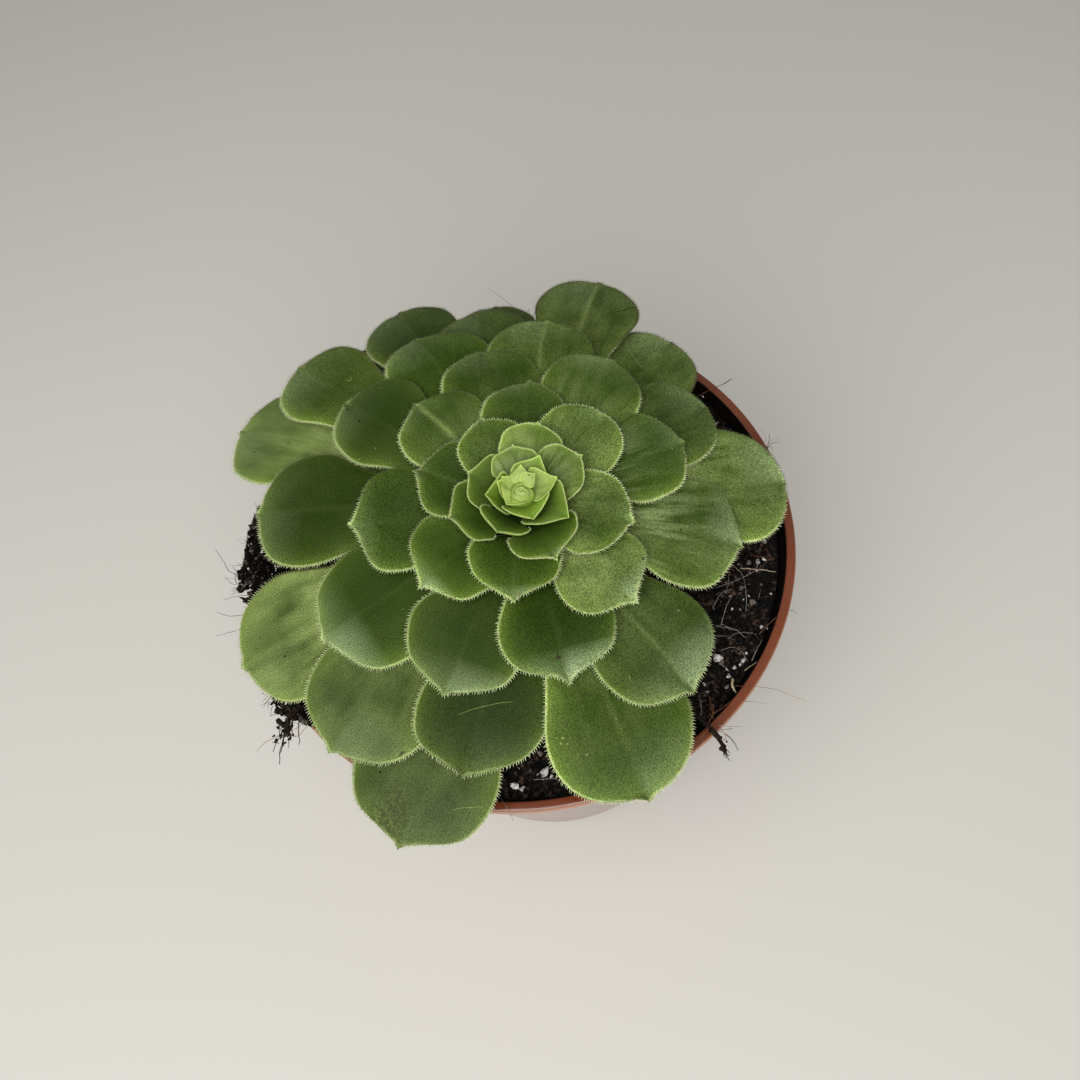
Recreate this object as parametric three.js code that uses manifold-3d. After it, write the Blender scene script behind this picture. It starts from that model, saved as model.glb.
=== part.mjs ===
// A potted aeonium: one low rosette of velvety spoon-shaped leaves on a short bare stem,
// planted in peat in a thin plastic nursery pot. Units are millimetres and +Z is up.
// The origin is the centre of the pot's underside and the viewer stands on the -Y side.
import * as THREE from "three";
import { mergeVertices } from "three/addons/utils/BufferGeometryUtils.js";
import Module from "manifold-3d";

const wasm = await Module();
wasm.setup();

const CLEARANCE = 0.3; // gap between neighbouring pieces
const DEGREE = Math.PI / 180;
const MERGE_WITHIN = 1e-3; // vertices closer than this are one

// Pot
const POT_HEIGHT = 105;
const RIM_RADIUS = 60;
const LIP_WIDTH = 2.2;
const LIP_DEPTH = 2.6;
const WALL = 1.3;
const WALL_TOP_RADIUS = 58.6; // outer face of the wall just under the lip
const BASE_RADIUS = 41;
const BASE_THICKNESS = 1.8;
const POT_SIDES = 48;
const DRAIN_HOLES = 6;
const DRAIN_RADIUS = 3.5;
const DRAIN_CIRCLE = 29;
const DRAIN_SIDES = 14;

// Soil
const SOIL_LEVEL = 101;
const SOIL_RINGS = [9, 17, 25, 33, 41, 48, 53];
const SOIL_DIP = 5.5; // round the stem
const SOIL_DIP_RADIUS = 24;
const SOIL_WAVE = 1.0; // two gentle waves in the surface
const SOIL_RIPPLE = 0.6;
const SOIL_CLEARANCE = 0.45;
const SOIL_DETAIL = 0.04; // facets flatter than this are merged
const SOIL_SEED = 11;
// Peat that has spilled over the rim: azimuths from and to in degrees, lumps, reach past the rim
const SPILLS = [
  [161, 185, 6, 3.6],
  [203, 211, 3, 4.5],
];
const LUMP_RADIUS = [3.2, 4.4];
const LUMP_FLATTENING = 0.8;
const LUMP_TURN = 2.5 * DEGREE; // scatter round the rim

// Stem
const STEM_SIDES = 18;
const STEM_RADIUS = 6.2; // where it enters the soil
const STEM_ROOT_RADIUS = 4.6;
const STEM_ROOT_HEIGHT = 66;
const STEM_ENTERS = 95; // height at which it comes out of the soil
const CROWN_FROM = 10; // spiral number at which the woody stem ends and the soft crown begins
const OLDEST_LEAF = 57;
const FOOT_DEPTH = 2.5; // from a leaf's upper face to its underside where it leaves the stem
const APEX_RADIUS = 1.3; // the stem's radius at the growing tip and how much it swells below
const APEX_SWELL = 6.7;
const SWELL_LEAVES = 14; // leaves over which most of the swelling comes
const CROWN_SIDES = 12;

// Clump of old roots that hangs over the rim: points in the part's frame with a radius
const ROOT_CLUMP = [
  [26.2, -43.6, 103.0, 0.5],
  [27.6, -46.0, 105.0, 0.8],
  [29.6, -49.6, 107.0, 1.1],
  [31.2, -52.4, 107.2, 1.1],
  [32.2, -54.9, 105.4, 1.0],
  [32.9, -56.4, 102.4, 0.5],
];

// Rosette frame: its axis leans a little towards the viewer's right
const ROSETTE_CENTRE = new THREE.Vector3(0.9, -3.0, 100);
const LEAN_ANGLE = 5 * DEGREE;
const LEAN_TOWARDS = -55 * DEGREE;

// Nested shells: leaf number n of the spiral lies on shell n, and every shell is clear of the next
const DOME_TOP = 139.5;
const DOME_DROP = 12; // fall of the outermost shell at DOME_SPAN from the axis
const DOME_SPAN = 60;
const HOLLOW_DEPTH = 6.5; // dip of the young leaves at the centre
const HOLLOW_RADIUS = 8;
const STEP_FAR = 0.24; // shell spacing far out, near the stem and right at the apex
const STEP_STEM = 0.4;
const STEP_STEM_FADE = 18;
const STEP_STEM_AT = 8;
const STEP_APEX = 0.6;
const STEP_APEX_FADE = 3.8;

// Leaf blades
const MUCRO = 1.3; // small point at the tip of each blade
const EDGE_THICKNESS = 0.7;
const CUP_PER_WIDTH = 0.05; // rise of the edges, fading out towards the older leaves
const CUP_LAST = 30;
const WEDGE_SHARE = 0.25; // least share of a blade that is wedge
const FULLNESS = 0.8; // below 1 the rounded end has broader shoulders
const WAIST = 10 * DEGREE; // how far the sides curve in below the rounded end
const END_SHARE = 0.92; // length of the rounded end over half the width
const LAST_ANGLE = 11 * DEGREE; // where the rounded end gives way to the point
const CREASE = 0.35; // shallow fold along the outer part of the midrib
const LARGE_REACH = 24; // larger blades get more rows
const FULL_REACH = 22; // the point and the fold are full size from here on
const ACROSS = [-1, -0.55, 0, 0.55, 1];
const WEDGE_ROWS = { large: [0, 0.3, 0.65], small: [0, 0.5] };
const END_ROWS = { large: [0, 0.3, 0.52, 0.7, 0.86, 1], small: [0, 0.4, 0.65, 0.85, 1] };

// Spiral number, azimuth in degrees, reach from the axis, blade width, lift of the blade,
// and roll: how far its counter-clockwise edge stands above its middle
const LEAVES = [
  [5, 91, 10.6, 9.5, 0, 0],
  [6, -131, 9.6, 10.5, 0, 0],
  [7, 22, 14.4, 12, 0, 0],
  [8, 145, 12.2, 11.5, 0, 0],
  [9, -73.5, 15.6, 14, 0, 0.4],
  [10, 70, 17, 13, 0, 0.3],
  [11, -173.5, 15.4, 14, 0, 0],
  [12.5, -24.6, 22.8, 17.5, 0, 0.5],
  [13.4, 107, 20.2, 14.5, 0, 0.3],
  [14, -105, 22, 18, 0.2, 0.6],
  [15.4, 38, 26, 18, 0, 0],
  [16.8, 150.5, 23.4, 17, 0, 0.4],
  [18.1, -55, 31, 18.5, 0, 0.5],
  [19, 79.4, 28.7, 17.6, 0, 0],
  [19.6, -149, 27.2, 20, 0, 0],
  [20, 12.4, 36, 20, 0, 0],
  [21.7, 123.2, 34, 19.5, 0, 0],
  [22.6, -86, 38, 22.5, 0, 0],
  [23, 51.5, 40.2, 21.5, 0, 0],
  [24, 176.5, 35.5, 23, 0, 0],
  [25, -20, 44.6, 23, 0, 0],
  [26, 93.5, 40.5, 21, 0, 0.2],
  [27, -121, 41, 23.5, 0, 0],
  [28, 23.2, 46.2, 21.5, 0, 0],
  [29, 135, 48, 21.5, 0, 0],
  [30, -58, 49.5, 24.5, 0, 0],
  [30.6, 75, 49.3, 23.5, 0, 0],
  [32, -156, 47.6, 25.5, 0, 0],
  [33, -1, 55.5, 26, 0, 0],
  [34.8, 108, 52, 24, 0.2, 0],
  [35, -110, 53.6, 25, 0, -1],
  [38.5, -77.5, 61.4, 28.5, 1.4, -1.3],
  [37, 166.7, 57.2, 26, 0, 0],
  [40.2, 92.5, 55.9, 22, 0, 0],
  [40, -138.5, 60.2, 27, 0, 0],
  [43.4, 131, 69.5, 23, 0, 0],
  [44.3, 66, 69, 24, 0, 0],
  [45.5, -163, 64.7, 27, 0, 0],
  [47.4, 108, 66.5, 22, 0.3, 0],
  [48, -120, 68.6, 29, 0, 0],
  [50, 46, 59, 24, -1.1, 0],
  [50.5, 146, 72.5, 25, 0, 0],
  [52.5, 88, 60.5, 19, -1.8, 0],
  [56, 119, 63, 19, 0, 0],
];
// Youngest leaves, still folded together on the apex
const CROWN_LEAVES = [
  [-1.2, 76, 3, 3.2, 0, 0],
  [-0.8, -146, 3.6, 3.8, 0, 0],
  [-0.4, -8.5, 4.6, 4.4, 0, 0],
  [0, 129, 5.4, 5.4, 0, 0],
  [1, -82.5, 6.2, 8.5, 0, 0],
  [2, 24, 7, 7.5, 0, 0],
  [3, 161, 7, 7, 0, 0],
  [4, -37, 10, 9.5, 0, 0],
];

// Height of the outermost shell at a distance from the rosette's axis.
function domeHeight(distance) {
  const fall = DOME_DROP * (distance / DOME_SPAN) ** 2;
  const hollow = HOLLOW_DEPTH * Math.exp(-((distance / HOLLOW_RADIUS) ** 2));
  return DOME_TOP - fall - hollow;
}

function shellStep(distance) {
  const nearStem = STEP_STEM * Math.exp((STEP_STEM_AT - distance) / STEP_STEM_FADE);
  const nearApex = STEP_APEX * Math.exp(-((distance / STEP_APEX_FADE) ** 2));
  return STEP_FAR + nearStem + nearApex;
}

function shellHeight(number, distance) {
  return domeHeight(distance) - number * shellStep(distance);
}

function shellSlope(number, distance) {
  const half = 0.05;
  const rise = shellHeight(number, distance + half) - shellHeight(number, distance - half);
  return rise / (2 * half);
}

// Distance from the axis at which a leaf leaves the stem: the stem swells from its apex down.
function footRadius(number) {
  return APEX_RADIUS + APEX_SWELL * (1 - Math.exp(-number / SWELL_LEAVES));
}

function smooth(t) {
  const c = Math.min(Math.max(t, 0), 1);
  return c * c * (3 - 2 * c);
}

// Half-width of a blade along its midrib: a straight-sided wedge that meets a rounded end.
function bladeRows(leaf) {
  const half = leaf.width / 2;
  const endLength = Math.min(half * END_SHARE, 0.55 * (leaf.reach - leaf.foot));
  const footHalf = Math.min(0.3 * half, 3.3);
  const foot = leaf.foot;
  const centre = leaf.reach - MUCRO * leaf.scale - endLength;
  const a = (foot - centre) / endLength;
  const b = footHalf / half;
  const straight = Math.atan2(b, a) - Math.acos(Math.min(1, 1 / Math.hypot(a, b)));
  const earliestX = foot + WEDGE_SHARE * (leaf.reach - foot);
  const latest = Math.acos(Math.max(-1, (earliestX - centre) / endLength));
  const join = Math.min(straight + WAIST, latest);
  const joinX = centre + endLength * Math.cos(join);
  const joinHalf = half * Math.sin(join);
  const joinSlope = (-half * Math.cos(join)) / (endLength * Math.sin(join));
  const power = Math.max(1, (joinSlope * (joinX - foot)) / (joinHalf - footHalf));
  const rows = [];
  for (const t of leaf.wedgeRows) {
    rows.push({
      x: foot + (joinX - foot) * t,
      half: footHalf + (joinHalf - footHalf) * t ** power,
    });
  }
  for (const t of leaf.endRows) {
    const angle = join * (1 - t) + LAST_ANGLE * t;
    rows.push({
      x: centre + endLength * Math.cos(angle),
      half: half * Math.sin(angle) ** (angle < Math.PI / 2 ? FULLNESS : 1),
    });
  }
  return rows;
}

function describeLeaf([number, azimuth, reach, width, lift, roll]) {
  const foot = footRadius(number);
  const size = reach > LARGE_REACH ? "large" : "small";
  return {
    number,
    azimuth: azimuth * DEGREE,
    reach,
    width,
    lift,
    roll,
    foot,
    scale: Math.min(1, reach / FULL_REACH),
    middle: THREE.MathUtils.clamp(0.9 + reach * 0.02, 1.0, 1.8),
    wedgeRows: WEDGE_ROWS[size],
    endRows: END_ROWS[size],
  };
}

// The first row follows the round of the stem.
function footBow(leaf, along, y) {
  if (along > 0.02) return 0;
  return leaf.foot - Math.sqrt(leaf.foot ** 2 - Math.min(y * y, leaf.foot ** 2 * 0.8));
}

// Point of a blade's upper face, with the direction in which its thickness runs.
function bladePoint(leaf, x, half, v) {
  const along = (x - leaf.foot) / (leaf.reach - leaf.foot);
  const y = v * half;
  const px = x - footBow(leaf, along, y);
  const distance = Math.hypot(px, y);
  const slope = shellSlope(leaf.number, distance);
  const cupped = Math.max(0, 1 - leaf.number / CUP_LAST);
  const cup = CUP_PER_WIDTH * leaf.width * cupped * v * v * smooth(along / 0.5);
  const tilt = (leaf.lift + leaf.roll * v) * smooth(along / 0.7);
  const crease = -CREASE * leaf.scale * (1 - Math.abs(v)) * smooth((along - 0.6) / 0.4);
  const point = new THREE.Vector3(px, y, shellHeight(leaf.number, distance) + cup + tilt + crease);
  const lean = smooth(along / 0.2);
  const down = new THREE.Vector3((slope * px * lean) / distance, (slope * y * lean) / distance, -1);
  return { point, down: down.normalize(), along };
}

function bladeThickness(leaf, along, v) {
  const base = 1 + 0.25 * (1 - smooth(along / 0.4));
  const tip = 1 - 0.45 * smooth((along - 0.6) / 0.4);
  const middle = leaf.middle * base * tip;
  const edge = EDGE_THICKNESS * (leaf.scale * 0.15 + 0.85);
  return edge + Math.max(middle - edge, 0) * (1 - v * v);
}

// A closed blade: rings of upper and lower points from the foot to the last row, then one tip point.
function leafGeometry(leaf) {
  const positions = [];
  const index = [];
  const rows = bladeRows(leaf);
  const columns = ACROSS.length;
  const ring = columns * 2;
  for (const row of rows) {
    const upper = ACROSS.map((v) => ({ v, ...bladePoint(leaf, row.x, row.half, v) }));
    for (const { point } of upper) positions.push(point.x, point.y, point.z);
    for (const { v, point, down, along } of upper.slice().reverse()) {
      const low = point.clone().addScaledVector(down, bladeThickness(leaf, along, v));
      positions.push(low.x, low.y, low.z);
    }
  }
  for (let r = 0; r + 1 < rows.length; r++) {
    for (let c = 0; c < ring; c++) {
      const here = r * ring + c;
      const beside = r * ring + ((c + 1) % ring);
      if (c < columns - 1) {
        index.push(here, here + ring, beside + ring);
        index.push(here, beside + ring, beside);
      } else {
        index.push(here, here + ring, beside);
        index.push(here + ring, beside + ring, beside);
      }
    }
  }
  for (let c = 0; c < columns - 1; c++) {
    const low = ring - 1 - c;
    index.push(c, c + 1, low);
    index.push(c + 1, low - 1, low);
  }
  const last = (rows.length - 1) * ring;
  const end = bladePoint(leaf, leaf.reach, 0, 0);
  end.point.addScaledVector(end.down, EDGE_THICKNESS * 0.4);
  positions.push(end.point.x, end.point.y, end.point.z);
  const tip = positions.length / 3 - 1;
  for (let c = 0; c < ring; c++) {
    index.push(last + c, tip, last + ((c + 1) % ring));
  }
  const geometry = new THREE.BufferGeometry();
  geometry.setAttribute("position", new THREE.Float32BufferAttribute(positions, 3));
  geometry.setIndex(index);
  geometry.rotateZ(leaf.azimuth);
  return geometry;
}

// From the rosette's own upright frame to the part's frame.
function rosetteMatrix() {
  const hinge = new THREE.Vector3(-Math.sin(LEAN_TOWARDS), Math.cos(LEAN_TOWARDS), 0);
  return new THREE.Matrix4()
    .makeTranslation(ROSETTE_CENTRE.x, ROSETTE_CENTRE.y, ROSETTE_CENTRE.z)
    .multiply(new THREE.Matrix4().makeRotationAxis(hinge, LEAN_ANGLE))
    .multiply(new THREE.Matrix4().makeTranslation(0, 0, -ROSETTE_CENTRE.z));
}

// Solids
function toSolid(geometry) {
  const plain = new THREE.BufferGeometry();
  const source = geometry.index ? geometry.toNonIndexed() : geometry;
  plain.setAttribute("position", source.getAttribute("position").clone());
  const merged = mergeVertices(plain, MERGE_WITHIN);
  const mesh = new wasm.Mesh({
    numProp: 3,
    vertProperties: merged.attributes.position.array,
    triVerts: new Uint32Array(merged.index.array),
  });
  return new wasm.Manifold(mesh);
}

function largestBody(solid) {
  return solid.decompose().reduce((best, body) => (body.volume() > best.volume() ? body : best));
}

function toGeometry(solid) {
  const mesh = solid.getMesh();
  const geometry = new THREE.BufferGeometry();
  const points = new Float32Array(mesh.numVert * 3);
  for (let i = 0; i < mesh.numVert; i++) {
    points.set(mesh.vertProperties.subarray(i * mesh.numProp, i * mesh.numProp + 3), i * 3);
  }
  geometry.setAttribute("position", new THREE.BufferAttribute(points, 3));
  geometry.setIndex(new THREE.BufferAttribute(mesh.triVerts, 1));
  geometry.computeVertexNormals();
  return geometry;
}

function turned(profile, sides) {
  const points = profile.map(([radius, height]) => new THREE.Vector2(radius, height));
  return new THREE.LatheGeometry(points, sides).rotateX(Math.PI / 2);
}

// Radius of the pot's inner face at a height.
function innerRadius(height) {
  const t = height / (POT_HEIGHT - LIP_DEPTH);
  return BASE_RADIUS + (WALL_TOP_RADIUS - BASE_RADIUS) * t - WALL;
}

function potProfile(grow) {
  const lipBottom = POT_HEIGHT - LIP_DEPTH;
  const lipInner = RIM_RADIUS - LIP_WIDTH;
  return [
    [0, -grow],
    [BASE_RADIUS - 0.8 + grow, -grow],
    [BASE_RADIUS + grow, 0.8 - grow],
    [WALL_TOP_RADIUS + grow, lipBottom - grow],
    [RIM_RADIUS - 0.3 + grow, lipBottom - grow],
    [RIM_RADIUS + grow, lipBottom + 0.4],
    [RIM_RADIUS + grow, POT_HEIGHT - 0.7],
    [RIM_RADIUS - 0.5 + grow, POT_HEIGHT + grow],
    [lipInner + 0.4 - grow, POT_HEIGHT + grow],
    [lipInner - grow, POT_HEIGHT - 0.5],
    [innerRadius(lipBottom - 1.5) - grow, lipBottom - 1.5],
    [innerRadius(BASE_THICKNESS) - grow, BASE_THICKNESS + grow],
    [0, BASE_THICKNESS + grow],
  ];
}

function potSolid() {
  let solid = toSolid(turned(potProfile(0), POT_SIDES));
  for (let i = 0; i < DRAIN_HOLES; i++) {
    const angle = ((i + 0.5) / DRAIN_HOLES) * 2 * Math.PI;
    const drill = new THREE.CylinderGeometry(DRAIN_RADIUS, DRAIN_RADIUS, 3 * BASE_THICKNESS, DRAIN_SIDES);
    drill.rotateX(Math.PI / 2);
    drill.translate(DRAIN_CIRCLE * Math.cos(angle), DRAIN_CIRCLE * Math.sin(angle), BASE_THICKNESS / 2);
    solid = solid.subtract(toSolid(drill));
  }
  return solid;
}

// Soil
function seededRandom(seed) {
  let state = seed;
  return () => {
    state = (state * 1664525 + 1013904223) % 4294967296;
    return state / 4294967296;
  };
}

function soilHeight(x, y) {
  const distance = Math.hypot(x, y);
  const waves = SOIL_WAVE * Math.sin(0.19 * x + 0.6) * Math.cos(0.17 * y - 0.4);
  const ripples = SOIL_RIPPLE * Math.sin(0.43 * x - 0.31 * y + 1.9);
  const dip = SOIL_DIP * Math.exp(-((distance / SOIL_DIP_RADIUS) ** 2));
  return SOIL_LEVEL + waves + ripples - dip;
}

function soilBody() {
  const positions = [0, 0, soilHeight(0, 0)];
  const index = [];
  const sides = POT_SIDES;
  const bottom = BASE_THICKNESS + SOIL_CLEARANCE;
  const addRing = (radius, heightAt) => {
    for (let i = 0; i < sides; i++) {
      const angle = (i / sides) * 2 * Math.PI;
      const x = radius * Math.sin(angle);
      const y = radius * Math.cos(angle);
      positions.push(x, y, heightAt(x, y));
    }
  };
  for (const radius of SOIL_RINGS) addRing(radius, soilHeight);
  addRing(innerRadius(SOIL_LEVEL) - SOIL_CLEARANCE, soilHeight);
  addRing(innerRadius(bottom) - SOIL_CLEARANCE, () => bottom);
  positions.push(0, 0, bottom);
  const rings = SOIL_RINGS.length + 2;
  const centre = positions.length / 3 - 1;
  for (let i = 0; i < sides; i++) {
    const j = (i + 1) % sides;
    index.push(0, 1 + j, 1 + i);
    for (let r = 0; r + 1 < rings; r++) {
      const here = 1 + r * sides;
      const next = here + sides;
      index.push(here + i, here + j, next + i);
      index.push(here + j, next + j, next + i);
    }
    const low = 1 + (rings - 1) * sides;
    index.push(centre, low + i, low + j);
  }
  const geometry = new THREE.BufferGeometry();
  geometry.setAttribute("position", new THREE.Float32BufferAttribute(positions, 3));
  geometry.setIndex(index);
  return toSolid(geometry);
}

function lump(radius, random) {
  const plain = new THREE.DodecahedronGeometry(radius, 0).deleteAttribute("normal").deleteAttribute("uv");
  const merged = mergeVertices(plain);
  const place = merged.getAttribute("position");
  for (let i = 0; i < place.count; i++) {
    const swell = 0.8 + 0.4 * random();
    const height = place.getZ(i) * swell * LUMP_FLATTENING;
    place.setXYZ(i, place.getX(i) * swell, place.getY(i) * swell, height);
  }
  return merged;
}

function soilSolid(stemHole) {
  const random = seededRandom(SOIL_SEED);
  let solid = soilBody();
  for (const [from, to, count, past] of SPILLS) {
    for (let i = 0; i < count; i++) {
      const angle = (from + ((to - from) * (i + 0.5)) / count) * DEGREE;
      const radius = LUMP_RADIUS[0] + (LUMP_RADIUS[1] - LUMP_RADIUS[0]) * random();
      const steps = [
        [RIM_RADIUS - 5.2, POT_HEIGHT - 2.5],
        [RIM_RADIUS - 2.2, POT_HEIGHT + 0.5],
        [RIM_RADIUS + past * (0.1 + 0.5 * random()), POT_HEIGHT + 0.6 - 1.5 * random()],
      ];
      for (const [distance, height] of steps) {
        const turn = angle + (random() - 0.5) * LUMP_TURN;
        const piece = lump(radius, random);
        piece.translate(distance * Math.cos(turn), distance * Math.sin(turn), height);
        solid = solid.add(toSolid(piece));
      }
    }
  }
  const keepOut = toSolid(turned(potProfile(CLEARANCE), POT_SIDES));
  return largestBody(solid.subtract(keepOut).subtract(stemHole).simplify(SOIL_DETAIL));
}

// Stem and crown share one outline, written as the feet of the leaves from the apex down.
function stemOutline(fromNumber, toNumber, steps) {
  const outline = [];
  for (let i = 0; i <= steps; i++) {
    const number = fromNumber + ((toNumber - fromNumber) * i) / steps;
    const foot = footRadius(number);
    outline.push([foot - CLEARANCE - 0.15, shellHeight(number, foot) - FOOT_DEPTH]);
  }
  return outline;
}

function stemProfile(grow) {
  const upper = stemOutline(CROWN_FROM, OLDEST_LEAF, 7);
  return [
    [0, STEM_ROOT_HEIGHT - grow],
    [STEM_ROOT_RADIUS - 1.5 + grow, STEM_ROOT_HEIGHT - grow],
    [STEM_ROOT_RADIUS + grow, STEM_ROOT_HEIGHT + 4],
    [STEM_RADIUS + grow, STEM_ENTERS - 3],
    ...upper.reverse().map(([radius, height]) => [radius + grow, height]),
    [0, upper[upper.length - 1][1]],
  ];
}

function crownSolid() {
  const outline = stemOutline(0, CROWN_FROM, 6);
  const top = outline[0][1] + 1.6;
  const bottom = outline[outline.length - 1][1] + CLEARANCE;
  const kept = outline.filter(([, height]) => height > bottom + 0.2).reverse();
  const base = [outline[outline.length - 1][0] - 0.2, bottom];
  let solid = toSolid(turned([[0, bottom], base, ...kept, [0, top]], CROWN_SIDES));
  for (const row of CROWN_LEAVES) {
    const leaf = describeLeaf(row);
    leaf.foot = Math.max(0.7, leaf.foot - 1.2);
    solid = solid.add(toSolid(leafGeometry(leaf)));
  }
  return largestBody(solid);
}

// A round rod along given points, closed at both ends.
function rod(points, sides) {
  const positions = [];
  const index = [];
  points.forEach(([x, y, z, radius], i) => {
    const before = new THREE.Vector3(...points[Math.max(i - 1, 0)].slice(0, 3));
    const after = new THREE.Vector3(...points[Math.min(i + 1, points.length - 1)].slice(0, 3));
    const along = after.sub(before).normalize();
    const side = new THREE.Vector3(1, 0.4, 0).cross(along).normalize();
    const other = along.clone().cross(side);
    for (let k = 0; k < sides; k++) {
      const angle = (k / sides) * 2 * Math.PI;
      const out = side.clone().multiplyScalar(Math.cos(angle)).addScaledVector(other, Math.sin(angle));
      positions.push(x + out.x * radius, y + out.y * radius, z + out.z * radius);
    }
  });
  for (let r = 0; r + 1 < points.length; r++) {
    for (let k = 0; k < sides; k++) {
      const here = r * sides + k;
      const beside = r * sides + ((k + 1) % sides);
      index.push(here, beside, here + sides);
      index.push(beside, beside + sides, here + sides);
    }
  }
  const last = (points.length - 1) * sides;
  for (let k = 1; k + 1 < sides; k++) {
    index.push(0, k + 1, k);
    index.push(last, last + k, last + k + 1);
  }
  const geometry = new THREE.BufferGeometry();
  geometry.setAttribute("position", new THREE.Float32BufferAttribute(positions, 3));
  geometry.setIndex(index);
  return geometry;
}

const group = new THREE.Group();
group.name = "potted_aeonium";
const LEAF_GREEN = new THREE.MeshStandardMaterial({ color: 0x4f7a35, roughness: 0.62, metalness: 0 });
const CROWN_GREEN = new THREE.MeshStandardMaterial({ color: 0x9cc05a, roughness: 0.6, metalness: 0 });
const STEM_BROWN = new THREE.MeshStandardMaterial({ color: 0x6b5a3e, roughness: 0.85, metalness: 0 });
const POT_BROWN = new THREE.MeshStandardMaterial({ color: 0xa04f2e, roughness: 0.4, metalness: 0 });
const PEAT = new THREE.MeshStandardMaterial({ color: 0x241b15, roughness: 0.95, metalness: 0 });
const ROOT = new THREE.MeshStandardMaterial({ color: 0x4a382a, roughness: 0.9, metalness: 0 });

function addPiece(name, geometry, material) {
  geometry.computeVertexNormals();
  const mesh = new THREE.Mesh(geometry, material);
  mesh.name = name;
  group.add(mesh);
}

const toPart = rosetteMatrix();
LEAVES.forEach((row, i) => {
  const name = `leaf_${String(i + 1).padStart(2, "0")}`;
  addPiece(name, leafGeometry(describeLeaf(row)).applyMatrix4(toPart), LEAF_GREEN);
});
addPiece("crown", toGeometry(crownSolid()).applyMatrix4(toPart), CROWN_GREEN);
addPiece("stem", turned(stemProfile(0), STEM_SIDES).applyMatrix4(toPart), STEM_BROWN);
const stemHole = toSolid(turned(stemProfile(CLEARANCE), STEM_SIDES).applyMatrix4(toPart));
addPiece("soil", toGeometry(soilSolid(stemHole)), PEAT);
addPiece("root_clump", rod(ROOT_CLUMP, 7), ROOT);
addPiece("pot", toGeometry(potSolid()), POT_BROWN);

export default group;
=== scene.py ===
"""A potted aeonium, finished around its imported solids.

Lengths are in millimetres in the frame of the part until a mesh is made, which is in metres.
"""
import logging
import math
from dataclasses import dataclass, field
from enum import Enum
from typing import Iterable, Optional, Sequence, Union

import bpy
import numpy as np
from mathutils import Matrix, Vector, noise


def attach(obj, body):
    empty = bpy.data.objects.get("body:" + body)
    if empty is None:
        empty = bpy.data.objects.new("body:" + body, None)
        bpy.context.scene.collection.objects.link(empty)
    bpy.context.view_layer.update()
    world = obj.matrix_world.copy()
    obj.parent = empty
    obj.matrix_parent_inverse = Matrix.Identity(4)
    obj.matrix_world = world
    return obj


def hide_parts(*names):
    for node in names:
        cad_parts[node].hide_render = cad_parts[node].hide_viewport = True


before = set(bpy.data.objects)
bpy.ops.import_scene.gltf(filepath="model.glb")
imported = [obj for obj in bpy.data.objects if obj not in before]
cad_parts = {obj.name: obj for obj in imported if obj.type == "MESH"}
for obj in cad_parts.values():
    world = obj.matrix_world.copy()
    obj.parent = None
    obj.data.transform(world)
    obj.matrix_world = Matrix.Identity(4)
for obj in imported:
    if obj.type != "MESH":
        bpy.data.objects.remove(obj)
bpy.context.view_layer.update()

LOG = logging.getLogger("aeonium")
MM = 0.001
# The side of the plan towards the light: leaf margins that face it get painted light, those turned away
# painted shade
SUNNY_SIDE = (-0.5, -0.87)

Colour = tuple[float, float, float, float]
Point = tuple[float, float, float]


def rgb(red: float, green: float, blue: float) -> Colour:
    """An opaque colour in linear light."""
    return (red, green, blue, 1.0)


def smooth(t: np.ndarray) -> np.ndarray:
    """Eases from 0 to 1 while t goes from 0 to 1."""
    c = np.clip(t, 0.0, 1.0)
    return c * c * (3.0 - 2.0 * c)


# Shader maths
class Field:
    """One output socket of a finish. Python's operators on it add Math nodes."""

    def __init__(self, painter: "Painter", socket: bpy.types.NodeSocket) -> None:
        """Wraps a socket of the painter's tree."""
        self.painter = painter
        self.socket = socket

    def _maths(self, operation: str, first: object, second: object) -> "Field":
        """Adds one Math node on two values."""
        return self.painter.node("ShaderNodeMath", {"operation": operation}, {0: first, 1: second})

    def __add__(self, other: object) -> "Field":
        """Sum."""
        return self._maths("ADD", self, other)

    def __radd__(self, other: object) -> "Field":
        """Sum, reflected."""
        return self._maths("ADD", other, self)

    def __sub__(self, other: object) -> "Field":
        """Difference."""
        return self._maths("SUBTRACT", self, other)

    def __rsub__(self, other: object) -> "Field":
        """Difference, reflected."""
        return self._maths("SUBTRACT", other, self)

    def __mul__(self, other: object) -> "Field":
        """Product."""
        return self._maths("MULTIPLY", self, other)

    def __rmul__(self, other: object) -> "Field":
        """Product, reflected."""
        return self._maths("MULTIPLY", other, self)

    def __rpow__(self, other: object) -> "Field":
        """A number raised to this field."""
        return self._maths("POWER", other, self)


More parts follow.
